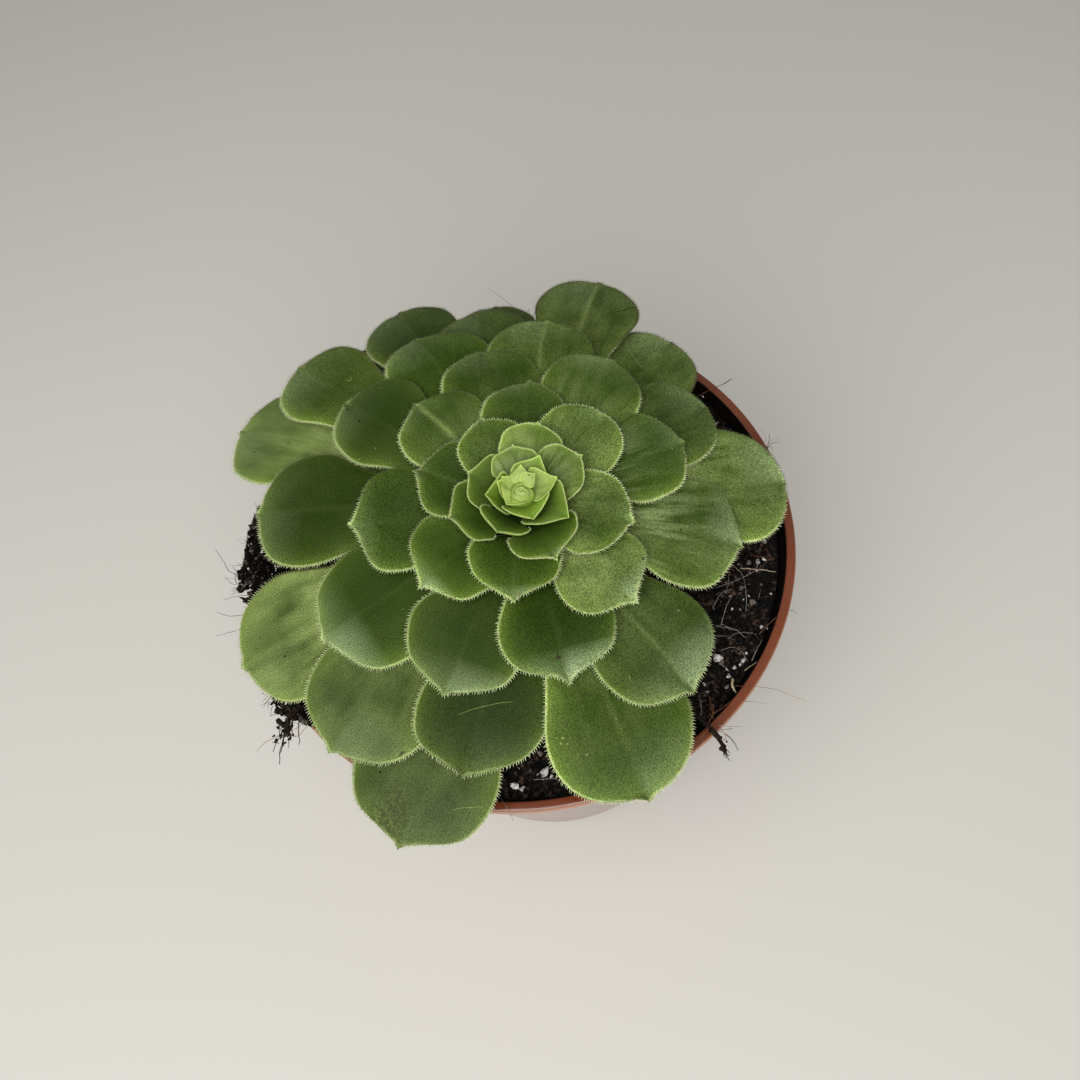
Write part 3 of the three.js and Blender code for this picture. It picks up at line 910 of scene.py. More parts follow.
@dataclass(frozen=True)
class Blade:
    """One leaf.

    Its place in the spiral, azimuth in degrees, reach, width and pose come first, then the strengths
    that its finish reads, from pale to furrow, then its form.
    """

    number: float
    azimuth: float
    reach: float
    width: float
    lift: float = 0.0
    roll: float = 0.0
    # pale, bloom and tone are partly painted light: set blade by blade for how much light falls on it
    pale: float = 0.15
    bloom: float = 0.15
    rust: float = 0.0
    tone: float = 1.0
    rib: float = 0.05
    furrow: float = 0.0
    point: float = 0.2
    lens: bool = False
    mucro: float = 1.3
    fold: float = 0.8
    cup: float = 0.0
    skew: float = 0.0
    widest_at: float = 0.3
    end_share: float = 0.92
    edge_thickness: float = 0.7
    edge_round: float = 0.4
    pillow: float = 0.42
    pillow_width: float = 1.15
    fullness: float = 0.8
    waist: float = math.radians(10)
    last_angle: float = math.radians(7)
    columns: int = 25

    @property
    def scale(self) -> float:
        """Size against a grown leaf."""
        return min(1.0, self.reach / 22)

    def outline(self, foot: float) -> tuple[np.ndarray, np.ndarray]:
        """Half-width along the midrib, from the foot to the point.

        Args:
            foot: Distance of the foot from the axis.

        Returns:
            Distances along the midrib and the half-widths there.
        """
        half = self.width / 2
        if self.lens:
            t = np.linspace(0, 1, 30)[:-1]
            rising = np.sin(math.pi / 2 * np.minimum(t / self.widest_at, 1)) ** 0.8
            left = np.minimum((1 - t) / (1 - self.widest_at), 1)
            bulge = rising * left * (1 + left * (1 - left))
            return foot + (self.reach - foot) * t, 0.25 * (1 - t) + half * bulge
        end = min(half * self.end_share, 0.55 * (self.reach - foot))
        foot_half = min(0.3 * half, 3.3)
        centre = self.reach - self.mucro * self.scale - end
        a, b = (foot - centre) / end, foot_half / half
        straight = math.atan2(b, a) - math.acos(min(1.0, 1 / math.hypot(a, b)))
        earliest = foot + 0.25 * (self.reach - foot)
        latest = math.acos(max(-1.0, (earliest - centre) / end))
        join = min(straight + self.waist, latest)
        join_x, join_half = centre + end * math.cos(join), half * math.sin(join)
        slope = (-half * math.cos(join)) / (end * math.sin(join))
        power = max(1.0, slope * (join_x - foot) / (join_half - foot_half))
        t = np.linspace(0, 1, max(6, round((join_x - foot) / 1.8)), endpoint=False)
        wedge_x = foot + (join_x - foot) * t
        wedge_half = foot_half + (join_half - foot_half) * t**power
        angle = np.linspace(join, self.last_angle, 26)
        end_x = centre + end * np.cos(angle)
        end_half = half * np.sin(angle) ** np.where(angle < math.pi / 2, self.fullness, 1.0)
        narrow = 1 - self.point * np.exp(-(((end_x[-1] - end_x) / (2.3 * self.scale)) ** 2))
        end_half = end_half * narrow
        s = np.linspace(0, 1, 8)[1:-1]
        tip_x = end_x[-1] + (self.reach - end_x[-1]) * s
        tip_half = end_half[-1] * (1 - s) ** 1.5
        return np.concatenate([wedge_x, end_x, tip_x]), np.concatenate([wedge_half, end_half, tip_half])


# Numbers that the leaf finish reads from a mesh
LEAF_VALUES = (
    "edge", "glow", "along", "across", "lower", "age", "pale", "rib", "furrow", "bloom", "rust", "tone",
)


def leaf_marks(points: np.ndarray, **values: object) -> dict:
    """The marks that the leaf finish reads.

    Args:
        points: The points that carry them, kept as texture coordinates.
        **values: A number by name, or one for each point. What is left out is 0.

    Returns:
        The marks by name.
    """
    marks = {name: np.zeros(len(points)) + values.get(name, 0.0) for name in LEAF_VALUES}
    marks["grain"] = marks["fan"] = points.copy()
    return marks


@dataclass(frozen=True)
class HairGrowth:
    """How hairs stand along a margin. A fully grown leaf adds what is called grown."""

    from_share: float = 0.2
    spacing: float = 0.28
    spacing_grown: float = 0.24
    jitter: float = 0.22
    slant: float = 0.4
    slant_spread: float = 0.16
    rise_spread: float = 0.14
    length: float = 0.06
    length_grown: float = 0.88
    radius: float = 0.03
    radius_grown: float = 0.105
    root_depth: float = 0.12


class Leaf:
    """Builds the mesh and the margin hairs of one blade on its shell."""

    growth: HairGrowth = HairGrowth()

    def __init__(self, blade: Blade, dome: Dome, foot: Optional[float] = None) -> None:
        """Works out the outline.

        Args:
            blade: The leaf's sizes.
            dome: The nest of shells.
            foot: Distance of the foot from the axis, if not the shell's own.
        """
        self.blade = blade
        self.dome = dome
        self.foot = dome.foot(blade.number) if foot is None else foot
        self.rng = np.random.default_rng(int(1000 + 10 * blade.number))
        self.phase = self.rng.uniform(0, 2 * math.pi, 6)
        self.fold = blade.fold * self.rng.uniform(0.7, 1.3)
        self.tip_turn = self.rng.uniform(-0.9, 0.9)
        self.x, self.half = blade.outline(self.foot)

    def along(self, x: np.ndarray) -> np.ndarray:
        """0 at the foot and 1 at the point."""
        return (x - self.foot) / (self.blade.reach - self.foot)

    def surface(self, x: np.ndarray, v: np.ndarray, half: np.ndarray) -> tuple[np.ndarray, np.ndarray]:
        """Upper face.

        Args:
            x: Distances along the midrib.
            v: Places across, -1 to 1.
            half: Half-widths there.

        Returns:
            Points in the rosette's frame, and directions into the blade.
        """
        b = self.blade
        along = self.along(x)
        side = np.sign(v)
        ragged = 1 + 0.022 * np.sin(6 * along + self.phase[0] + 1.3 * side)
        ragged = ragged + 0.012 * np.sin(17 * along + self.phase[1] + side)
        y = v * half * ragged + self.tip_turn * b.scale * smooth((along - 0.8) / 0.2)
        y = y + b.skew * smooth((along - 0.5) / 0.5)
        rounded = self.foot - np.sqrt(self.foot**2 - np.minimum(y * y, 0.8 * self.foot**2))
        px = x - np.where(along < 0.02, rounded, 0)
        distance = np.hypot(px, y)
        gx, gy = self._turn(px, y)
        z = self.dome.height(b.number, distance) + self._relief(x, y, v) + self.dome.sway(gx, gy)
        lean = smooth(along / 0.2) * self.dome.slope(b.number, distance) / distance
        down = np.stack([*self._turn(px * lean, y * lean), -np.ones_like(px)], -1)
        down /= np.linalg.norm(down, axis=-1)[..., None]
        return np.stack([gx, gy, z], -1), down

    def _turn(self, x: np.ndarray, y: np.ndarray) -> tuple[np.ndarray, np.ndarray]:
        """Lengths along and across the blade, turned to its azimuth."""
        angle = math.radians(self.blade.azimuth)
        return x * math.cos(angle) - y * math.sin(angle), x * math.sin(angle) + y * math.cos(angle)

    def _relief(self, x: np.ndarray, y: np.ndarray, v: np.ndarray) -> np.ndarray:
        """How far the upper face lies over its shell: cup, tilt, midrib, fold, waves and pleats.

        Args:
            x: Distances along the midrib.
            y: Distances across.
            v: Places across, -1 to 1.

        Returns:
            Heights.
        """
        b = self.blade
        along = self.along(x)
        out = (2 * y / b.width) ** 2
        cup = (0.05 * max(0.0, 1 - b.number / 30) + b.cup) * b.width * out * smooth(along / 0.5)
        tilt = (b.lift + b.roll * v) * smooth(along / 0.7)
        midrib = -0.35 * (1 - np.abs(v)) * smooth((along - 0.6) / 0.4)
        fold = -self.fold * np.exp(-np.abs(y)) * smooth((x - b.reach) / (8 * b.scale) + 1.1)
        wave = 0.42 * out * smooth(along / 0.6) * np.sin(7 * along + 1.6 * v + self.phase[2])
        pleat = 0.09 * np.sin(0.375 * x + 0.825 * np.abs(y) + self.phase[3]) * smooth(along / 0.3)
        spoke = np.sin(5.5 * y / (0.25 + along) / (0.35 * b.width) + self.phase[4]) * smooth(along / 0.2)
        furrow = 0.3 * min(b.furrow, 0.8) * spoke * (1 - smooth((along - 0.5) / 0.35))
        return cup + tilt + b.scale * (midrib + fold + wave + pleat + furrow)

    def thickness(self, along: np.ndarray, v: np.ndarray) -> np.ndarray:
        """Thickness of the blade.

        Args:
            along: Places along, 0 to 1.
            v: Places across, -1 to 1.

        Returns:
            Thicknesses.
        """
        b = self.blade
        middle = min(max(0.9 + b.reach * 0.02, 1.0), 1.8)
        middle = middle * (1 + 0.25 * (1 - smooth(along / 0.4))) * (1 - 0.45 * smooth((along - 0.6) / 0.4))
        edge = b.edge_thickness * (b.scale * 0.15 + 0.85)
        return edge + np.maximum(middle - edge, 0) * (1 - v * v)

    def edge_distance(self, x: np.ndarray, y: np.ndarray) -> np.ndarray:
        """Distance in plan from points to the margin.

        Args:
            x: Distances along the midrib.
            y: Distances across.

        Returns:
            Distances to the margin.
        """
        border_x = np.concatenate([self.x, self.x, [self.blade.reach]])
        border_y = np.concatenate([self.half, -self.half, [0.0]])
        gaps = np.hypot(x.ravel()[:, None] - border_x[None], y.ravel()[:, None] - border_y[None])
        return gaps.min(1).reshape(x.shape)

    def mesh(self) -> Shape:
        """The closed blade with the values its finish reads.

        Returns:
            The blade in the rosette's frame.
        """
        b = self.blade
        v = np.sin(np.linspace(-math.pi / 2, math.pi / 2, b.columns))
        v, x = np.meshgrid(v, self.x)
        half = np.repeat(self.half[:, None], b.columns, 1)
        top, down = self.surface(x, v, half)
        thick = self.thickness(self.along(x), v)
        inward = np.minimum((1 - np.abs(v)) * half, (b.reach - x) * 0.6 + 0.05)
        past_corner = 1 - np.clip(inward / b.edge_round, 0, 1)
        corner = 1 - np.sqrt(np.clip(1 - past_corner**2, 0, 1))
        pillow = b.pillow * np.exp(-((inward / b.pillow_width) ** 2)) * (1 - corner)
        upper = top + down * (corner * thick / 2 + pillow * np.minimum(1, thick))[..., None]
        lower = top + down * (thick * (1 - corner / 2))[..., None]
        tip, tip_down = self.surface(np.array([b.reach]), np.array([0.0]), np.array([0.0]))
        points = np.vstack([self._around(upper, lower).reshape(-1, 3), tip + tip_down * 0.2])
        across = self._around(v * half, v * half)
        x = self._around(x, x)
        flat_x, flat_y = np.append(x, b.reach), np.append(across, 0.0)
        no_height = np.zeros(len(points))
        offset = self.rng.uniform(-300, 300, 3)
        fineness = 1 + 0.8 * (1 - b.scale)
        spread = flat_y / (0.35 + np.maximum(self.along(flat_x), 0.0))
        marks = leaf_marks(
            points,
            edge=np.append(self.edge_distance(x, across), 0.0),
            glow=np.append(self.glow(x, across), 0.7),
            along=np.append(self.along(x), 1.0),
            lower=np.append(self._around(np.zeros_like(v), np.ones_like(v)), 0.5),
            across=flat_y,
            age=min(1.0, max(0.0, (b.number + 2) / 58)),
            rust=np.append(b.rust * self._rusty(x, across), b.rust),
            **{name: getattr(b, name) for name in ("pale", "rib", "furrow", "bloom", "tone")},
        )
        marks["grain"] = np.stack([flat_x, flat_y, no_height], -1) * fineness + offset
        marks["fan"] = np.stack([flat_x * 0.08, spread * 0.55, no_height], -1) * fineness + offset
        return Shape(points, self._faces(len(self.x), b.columns), marks)

    @staticmethod
    def _around(upper: np.ndarray, lower: np.ndarray) -> np.ndarray:
        """Rings that run over the top and back below."""
        return np.concatenate([upper, lower[:, -2:0:-1]], 1)

    def glow(self, x: np.ndarray, y: np.ndarray) -> np.ndarray:
        """How light the margin is painted: most in young leaves, and on the side towards the light as
        painted light, with painted shade on the side turned away.

        Args:
            x: Distances along the midrib.
            y: Distances across.

        Returns:
            Shares from 0 to 1.
        """
        b = self.blade
        middle = self.foot + 0.62 * (b.reach - self.foot)
        beyond = np.maximum(x - middle, 0)
        out_x, out_y = self._turn(beyond, y)
        size = np.hypot(out_x, out_y) + 1e-6
        towards = (out_x * SUNNY_SIDE[0] + out_y * SUNNY_SIDE[1]) / size
        shaded = 0.96 * smooth((b.number - 4) / 18)
        light = 1 - shaded * (1 - smooth((towards + 0.75) / 1.35)) - 0.12 * smooth((b.number - 15) / 30)
        return np.maximum(light, 0.0)

    def _rusty(self, x: np.ndarray, y: np.ndarray) -> np.ndarray:
        """Where an old blade browns: near its point, on the clockwise side."""
        return smooth((self.along(x) - 0.7) / 0.25) * np.exp(-(((y + 3.5) / 5.5) ** 2))

    def on_top(self, places: Sequence[tuple[float, float]], lift: float) -> np.ndarray:
        """Points on the upper face.

        Args:
            places: Distances along the midrib and across it.
            lift: Height over the face.

        Returns:
            Points in the rosette's frame.
        """
        x, y = np.array(places, float).T
        half = np.interp(x, self.x, self.half)
        top, down = self.surface(x, np.clip(y / half, -0.97, 0.97), half)
        return top - down * lift

    @staticmethod
    def _faces(rows: int, columns: int) -> list:
        """Faces of a blade whose rings run over the top and back below.

        Args:
            rows: Number of rings.
            columns: Points across the top of each.

        Returns:
            The faces.
        """
        ring = 2 * (columns - 1)
        faces = ring_faces(rows, ring, True)
        for c in range(columns - 1):
            corners = [c, c + 1, ring - c - 1, (ring - c) % ring]
            faces.append(tuple(dict.fromkeys(corners)))
        last, tip = (rows - 1) * ring, rows * ring
        faces += [(last + c, tip, last + (c + 1) % ring) for c in range(ring)]
        return faces

    def hairs(self) -> Shape:
        """Hairs that stand out from the margin and lean towards the point.

        Returns:
            The hairs in the rosette's frame.
        """
        b, growth = self.blade, self.growth
        spacing = growth.spacing + growth.spacing_grown * b.scale
        starts, ways, lengths, light = [], [], [], []
        for side in (-1.0, 1.0):
            edge, _ = self.surface(self.x, np.full_like(self.x, side), self.half)
            kept = self.along(self.x) > growth.from_share
            path = edge[kept]
            step = np.linalg.norm(np.diff(path, axis=0), axis=1)
            run = np.concatenate([[0], np.cumsum(step)])
            count = int(run[-1] / spacing)
            at = (np.arange(count) + self.rng.uniform(-growth.jitter, growth.jitter, count)) * spacing
            place = np.stack([np.interp(at, run, path[:, k]) for k in range(3)], -1)
            ahead = np.stack([np.interp(at, run, np.gradient(path[:, k], run)) for k in range(3)], -1)
            ahead /= np.linalg.norm(ahead, axis=1)[:, None] + 1e-9
            out = np.cross(ahead, (0, 0, 1.0)) * -side
            out /= np.linalg.norm(out, axis=1)[:, None] + 1e-9
            slant = self.rng.normal(growth.slant, growth.slant_spread, count)[:, None]
            rise = self.rng.normal(0.0, growth.rise_spread, count)[:, None]
            way = out + ahead * slant + np.array([0, 0, 1.0]) * rise
            starts.append(place - out * growth.root_depth - (0, 0, 0.3 * b.edge_thickness))
            ways.append(way / np.linalg.norm(way, axis=1)[:, None])
            lit = np.interp(at, run, self.glow(self.x, side * self.half)[kept])
            longest = (growth.length + growth.length_grown * b.scale) * (0.65 + 0.35 * smooth(lit / 0.3))
            lengths.append(self.rng.uniform(0.75, 1.0, count) * longest)
            light.append(lit)
        lit = np.concatenate(light)
        # Whiter hairs where the margin gets painted light, greener where it is turned away: painted light
        # and shade
        tone = smooth(lit * 1.2 + 0.13) * self.rng.uniform(0.6, 1.0, len(lit))
        radius = growth.radius + growth.radius_grown * b.scale
        return needles(np.vstack(starts), np.vstack(ways), np.concatenate(lengths), radius, tone)


def needles(
    starts: np.ndarray, ways: np.ndarray, lengths: np.ndarray, radius: float, tone: np.ndarray
) -> Shape:
    """Slim closed three-sided points.

    Args:
        starts: Where each begins.
        ways: Unit directions.
        lengths: Lengths.
        radius: Radius at the base.
        tone: How white each is, 0 to 1.

    Returns:
        All of them as one shape.
    """
    count = len(starts)
    side = np.cross(ways, np.array([0.2, 0.3, 0.93]))
    side /= np.linalg.norm(side, axis=1)[:, None] + 1e-9
    other = np.cross(ways, side)
    corners = []
    for k in range(3):
        angle = 2 * math.pi * k / 3
        corners.append(starts + (side * math.cos(angle) + other * math.sin(angle)) * radius)
    points = np.stack(corners + [starts + ways * lengths[:, None]], 1).reshape(-1, 3)
    faces = []
    for i in range(count):
        a = 4 * i
        faces += [(a, a + 1, a + 3), (a + 1, a + 2, a + 3), (a + 2, a, a + 3), (a + 2, a + 1, a)]
    return Shape(points, faces, {"tone": np.repeat(tone, 4)})


# Places of the leaves: spiral number, azimuth, reach, width, lift, roll
# pale, bloom and tone here partly paint the light that falls on each blade
LEAVES = [
    Blade(5, 91, 10.6, 9.5, pale=0.9, bloom=0.6, point=0.5, furrow=1.4),
    Blade(6, -131, 9.6, 10.5, pale=0.05, point=0.6),
    Blade(7, 22, 14.4, 12, pale=0.6, bloom=0.2, point=0.4, furrow=0.9),
    Blade(8, 145, 12.2, 11.5, pale=0.15, point=0.7),
    Blade(9, -73.5, 15.6, 14, 0, 0.4, pale=0.1, bloom=0.6, point=0.6, fold=1.1),
    Blade(10, 70, 17, 13, 0, 0.3, pale=0.85, bloom=0.1, point=0.3, tone=1.35, fold=1.1),
    Blade(11, -173.5, 15.4, 14, pale=0.05, bloom=0.2, point=0.6, tone=1.05),
    Blade(12.5, -24.6, 22.8, 17.5, 0, 0.5, pale=0.7, bloom=0.2, point=0.25),
    Blade(13.4, 107, 20.2, 14.5, 0, 0.3, pale=0.3, point=0.3),
    Blade(14, -105, 22, 18, 0.2, 0.6, pale=0.05, bloom=0.6, point=0.4, fold=1.1, tone=1.15),
    Blade(15.4, 38, 26, 18, pale=0.65, point=0.1, tone=1.2, mucro=0.9),
    Blade(16.8, 150.5, 23.4, 17, 0, 0.4, pale=0.05, rib=0.15, point=0.5, tone=0.95),
    Blade(18.1, -55, 31, 18.5, 0, 0.5, pale=0.9, bloom=0.6, point=0.6, tone=1.13),
    Blade(19, 79.4, 28.7, 17.6, pale=0.12, point=0.2, tone=1.1),
    Blade(19.6, -149, 27.2, 20, pale=0.1, bloom=0.5, point=0.6, tone=1.35),
    Blade(20, 12.4, 36, 20, pale=0.15, furrow=0.5, point=0.2, tone=1.2),
    Blade(21.7, 123.2, 34, 19.5, pale=0.3, rib=0.6, point=0.6, tone=1.2),
    Blade(22.6, -86, 38, 22.5, pale=0, bloom=0.7, point=0.7, fold=1.5, tone=1.08),
    Blade(23, 51.5, 40.2, 21.5, pale=0.3, furrow=0.2, point=0.15, tone=1.35),
    Blade(24, 176.5, 35.5, 23, pale=0.08, bloom=0.2, point=0.6, tone=1.15),
    Blade(25, -20, 44.6, 23, pale=0.4, furrow=0.9, bloom=0.3, point=0.3, tone=1.2),
    Blade(26, 93.5, 40.5, 21, 0, 0.2, pale=0.2, point=0.2, tone=1.2),
    Blade(27, -121, 41, 23.5, pale=0.08, bloom=0.45, point=0.35, fold=1.5),
    Blade(28, 23.2, 46.2, 21.5, pale=0.45, furrow=0.2, point=0.05, mucro=0.8, tone=1.05),
    Blade(29, 135, 48, 21.5, pale=0.1, point=0.25),
    Blade(30, -58, 49.5, 24.5, pale=0.3, rib=0.3, bloom=0.5, point=0.2, fold=1.5),
    Blade(30.6, 75, 49.3, 23.5, pale=0.4, rib=0.3, point=0.15, tone=1.45),
    Blade(32, -156, 47.6, 25.5, pale=0.05, bloom=0.4, point=0.3, tone=1.2),
    Blade(33, -1, 55.5, 26, pale=0.65, furrow=0.7, bloom=0.2, point=0.05, tone=1.6, mucro=0.8),
    Blade(34.8, 108, 52, 24, 0.2, 0, pale=0.05, point=0.15, tone=1.5),
    Blade(35, -110, 53.6, 25, 0, -1, pale=0.03, bloom=0.1, point=0.3, skew=-1.2, tone=0.85, fold=1.5),
    Blade(38.5, -77.5, 61.4, 28.5, 1.4, -1.3, pale=0.2, bloom=0.15, point=0.1, tone=1.5),
    Blade(37, 166.7, 57.2, 26, pale=0.05, point=0.15, tone=1.05),
    Blade(40.2, 92.5, 55.9, 22, pale=0.2, point=0.15, tone=1.1),
    Blade(40, -138.5, 60.2, 27, pale=0.6, bloom=0.25, point=0.25),
    Blade(43.4, 131, 69.5, 23, pale=0.15, rust=0.2, point=0.2, tone=1.55),
    Blade(44.3, 66, 69, 24, pale=0.55, rib=0.4, point=0.1, tone=1.2),
    Blade(45.5, -163, 64.7, 27, pale=1.5, rib=0.2, bloom=0.1, point=0.15, tone=1.1),
    Blade(47.4, 108, 66.5, 22, 0.3, 0, pale=0.2, point=0.15, tone=0.95),
    Blade(48, -120, 68.6, 29, pale=0.55, rust=0.75, point=0.5, tone=0.88),
    Blade(50, 46, 59, 24, -1.1, 0, pale=0.5, point=0.05, tone=1.55, mucro=0.8),
    Blade(50.5, 146, 72.5, 25, pale=0.8, rib=0.2, rust=0.25, point=0.15, tone=1.35, furrow=0.3),
    Blade(52.5, 88, 62.3, 19, -1.8, 0, pale=0.15, point=0.15),
    Blade(56, 119, 63, 19, pale=0.15, point=0.15),
]
# What the youngest leaves share
YOUNG = {"fold": 0.5, "lens": True, "bloom": 0.0}
YOUNG_LEAVES = [
    Blade(-2.3, 34, 3.7, 3.3, 0.8, cup=0.12, pale=0.0, tone=1.0, **YOUNG),
    Blade(-1.9, 82, 4.6, 3.2, 0.6, cup=0.08, pale=0.0, tone=1.08, **YOUNG),
    Blade(-1.4, -140, 4.4, 5.6, 0.0, cup=0.16, pale=0.0, tone=1.15, **YOUNG),
    Blade(-1.2, 136, 4.6, 3.4, 0.2, cup=0.10, pale=0.2, tone=1.15, **YOUNG),
    Blade(-0.8, 4, 7.2, 6.6, -0.3, cup=0.13, pale=0.4, furrow=0.8, tone=1.2, **YOUNG),
    Blade(-0.2, 146, 5.2, 5.4, -0.2, cup=0.14, pale=0.1, tone=1.4, **YOUNG),
    Blade(0.5, -80, 7.2, 9.0, 0.6, cup=0.14, pale=0.0, tone=1.35, **YOUNG),
    Blade(1.4, 52, 7.8, 7.4, 0.5, cup=0.14, pale=0.85, furrow=1.2, tone=1.25, **YOUNG),
    Blade(2.4, 173, 7.0, 8.4, cup=0.12, pale=0.0, tone=1.15, **YOUNG),
    Blade(3.3, -44, 11.2, 10.6, cup=0.09, pale=0.35, tone=1.1, **YOUNG),
]


@dataclass(frozen=True)
class LeafMark:
    """A thin raised line on one leaf: a scratch, a healed crack or a fallen hair."""

    leaf: int
    radius: float
    places: tuple
    dark: bool = False


# Lines that are seen on the leaves
LEAF_MARKS = [
    LeafMark(31, 0.06, ((42.6, -4.2), (41.0, -1.5), (39.9, 0.9), (38.9, 3.2), (38.3, 5.4))),
    LeafMark(40, 0.08, ((58.6, 7.0), (57.4, 9.0), (56.6, 11.0), (56.0, 12.8))),
    LeafMark(37, 0.08, ((58.3, -6.7), (59.3, -8.2), (60.2, -8.7), (61.2, -10.4)), True),
    LeafMark(38, 0.07, ((52.9, -11.2), (52.5, -9.8), (52.2, -8.3))),
    LeafMark(41, 0.06, ((52.3, 8.7), (50.8, 6.6), (48.9, 4.2), (47.8, 1.6), (46.5, -0.9))),
    LeafMark(41, 0.05, ((43.0, 0.9), (42.6, -0.4), (42.1, -1.5))),
    LeafMark(26, 0.06, ((38.8, -7.6), (39.3, -8.1), (40.2, -8.2))),
    LeafMark(36, 0.06, ((54.4, -3.6), (54.1, -3.1), (53.5, -3.2), (53.3, -3.8), (53.8, -4.1), (54.3, -3.8))),
]
# Healed spots: leaf, distance along, distance across, radius
SCARS = [
    (32, 45.0, -10.6, 0.6), (32, 46.3, -10.2, 0.42), (32, 45.8, -11.4, 0.34), (32, 43.9, -10.9, 0.3),
    (32, 46.9, -11.0, 0.26), (32, 44.7, -11.7, 0.3), (32, 45.5, -9.5, 0.26),
]
# Peat specks lying on leaves: leaf, distance along, distance across, radius
SPECKS = [
    (25, 45.3, 1.3, 0.2), (25, 40.9, 2.5, 0.24), (25, 45.0, 0.2, 0.13), (11, 15.0, -8.1, 0.2),
    (13, 14.5, 6.0, 0.16), (40, 56.6, -8.4, 0.22), (21, 37.0, 6.5, 0.14), (38, 55.0, 3.0, 0.2),
    (32, 50.5, 4.0, 0.1), (41, 50.0, 9.0, 0.3),
]


@dataclass(frozen=True)
class Bud:
    """The rolled bud in the middle: a round cap with one sheath wound over another."""

    radius: float = 2.5
    rise: float = 1.7
    pitch: float = 0.95
    step: float = 0.5
    skirt: float = 3.0
    place: tuple[float, float] = (-0.1, -1.05)
    lift: float = 1.5
    rings: int = 44
    sides: int = 72

    def shape(self, dome: Dome) -> Shape:
        """The closed bud.

        Args:
            dome: The nest of shells that it stands on.

        Returns:
            The bud in the rosette's frame.
        """
        share = np.linspace(0, 1, self.rings + 1)[1:, None]
        turn = (np.arange(self.sides) / self.sides * 2 * math.pi)[None]
        out = self.radius * share * (1 + 0.09 * np.cos(3 * turn + 1) + 0.04 * np.cos(5 * turn))
        wander = 0.14 * np.sin(2 * turn) + 0.07 * np.sin(3 * turn + 1)
        wound = (out / self.pitch + turn / (2 * math.pi) + wander) % 1.0
        sheath = self.step * (1 - wound) * smooth(share / 0.12) - 0.3 * np.exp(-((share / 0.09) ** 2))
        height = self.rise * np.sqrt(np.maximum(1 - (0.98 * share) ** 2, 0)) + sheath
        rows = np.stack([out * np.cos(turn), out * np.sin(turn), height], -1).reshape(-1, 3)
        ends = [(0, 0, self.rise + self.step), (0, 0, -self.skirt)]
        centre = (*self.place, float(dome.height(0, 0.0)) + self.lift)
        points = np.vstack([rows, rows[-self.sides:] - (0, 0, self.skirt), ends]) + centre
        low, top, bottom = len(rows), len(points) - 2, len(points) - 1
        faces = ring_faces(self.rings + 1, self.sides, True)
        for k in range(self.sides):
            j = (k + 1) % self.sides
            faces += [(top, k, j), (low + k, bottom, low + j)]
        below = np.ones(self.sides + 2)
        edge = np.append(wound * 1.6 + 0.05, 4.0 * below)
        age = 0.03 * np.append(share**2 + 0 * turn, below)
        return Shape(points, faces, leaf_marks(points, edge=edge, glow=0.8, tone=1.0, age=age))


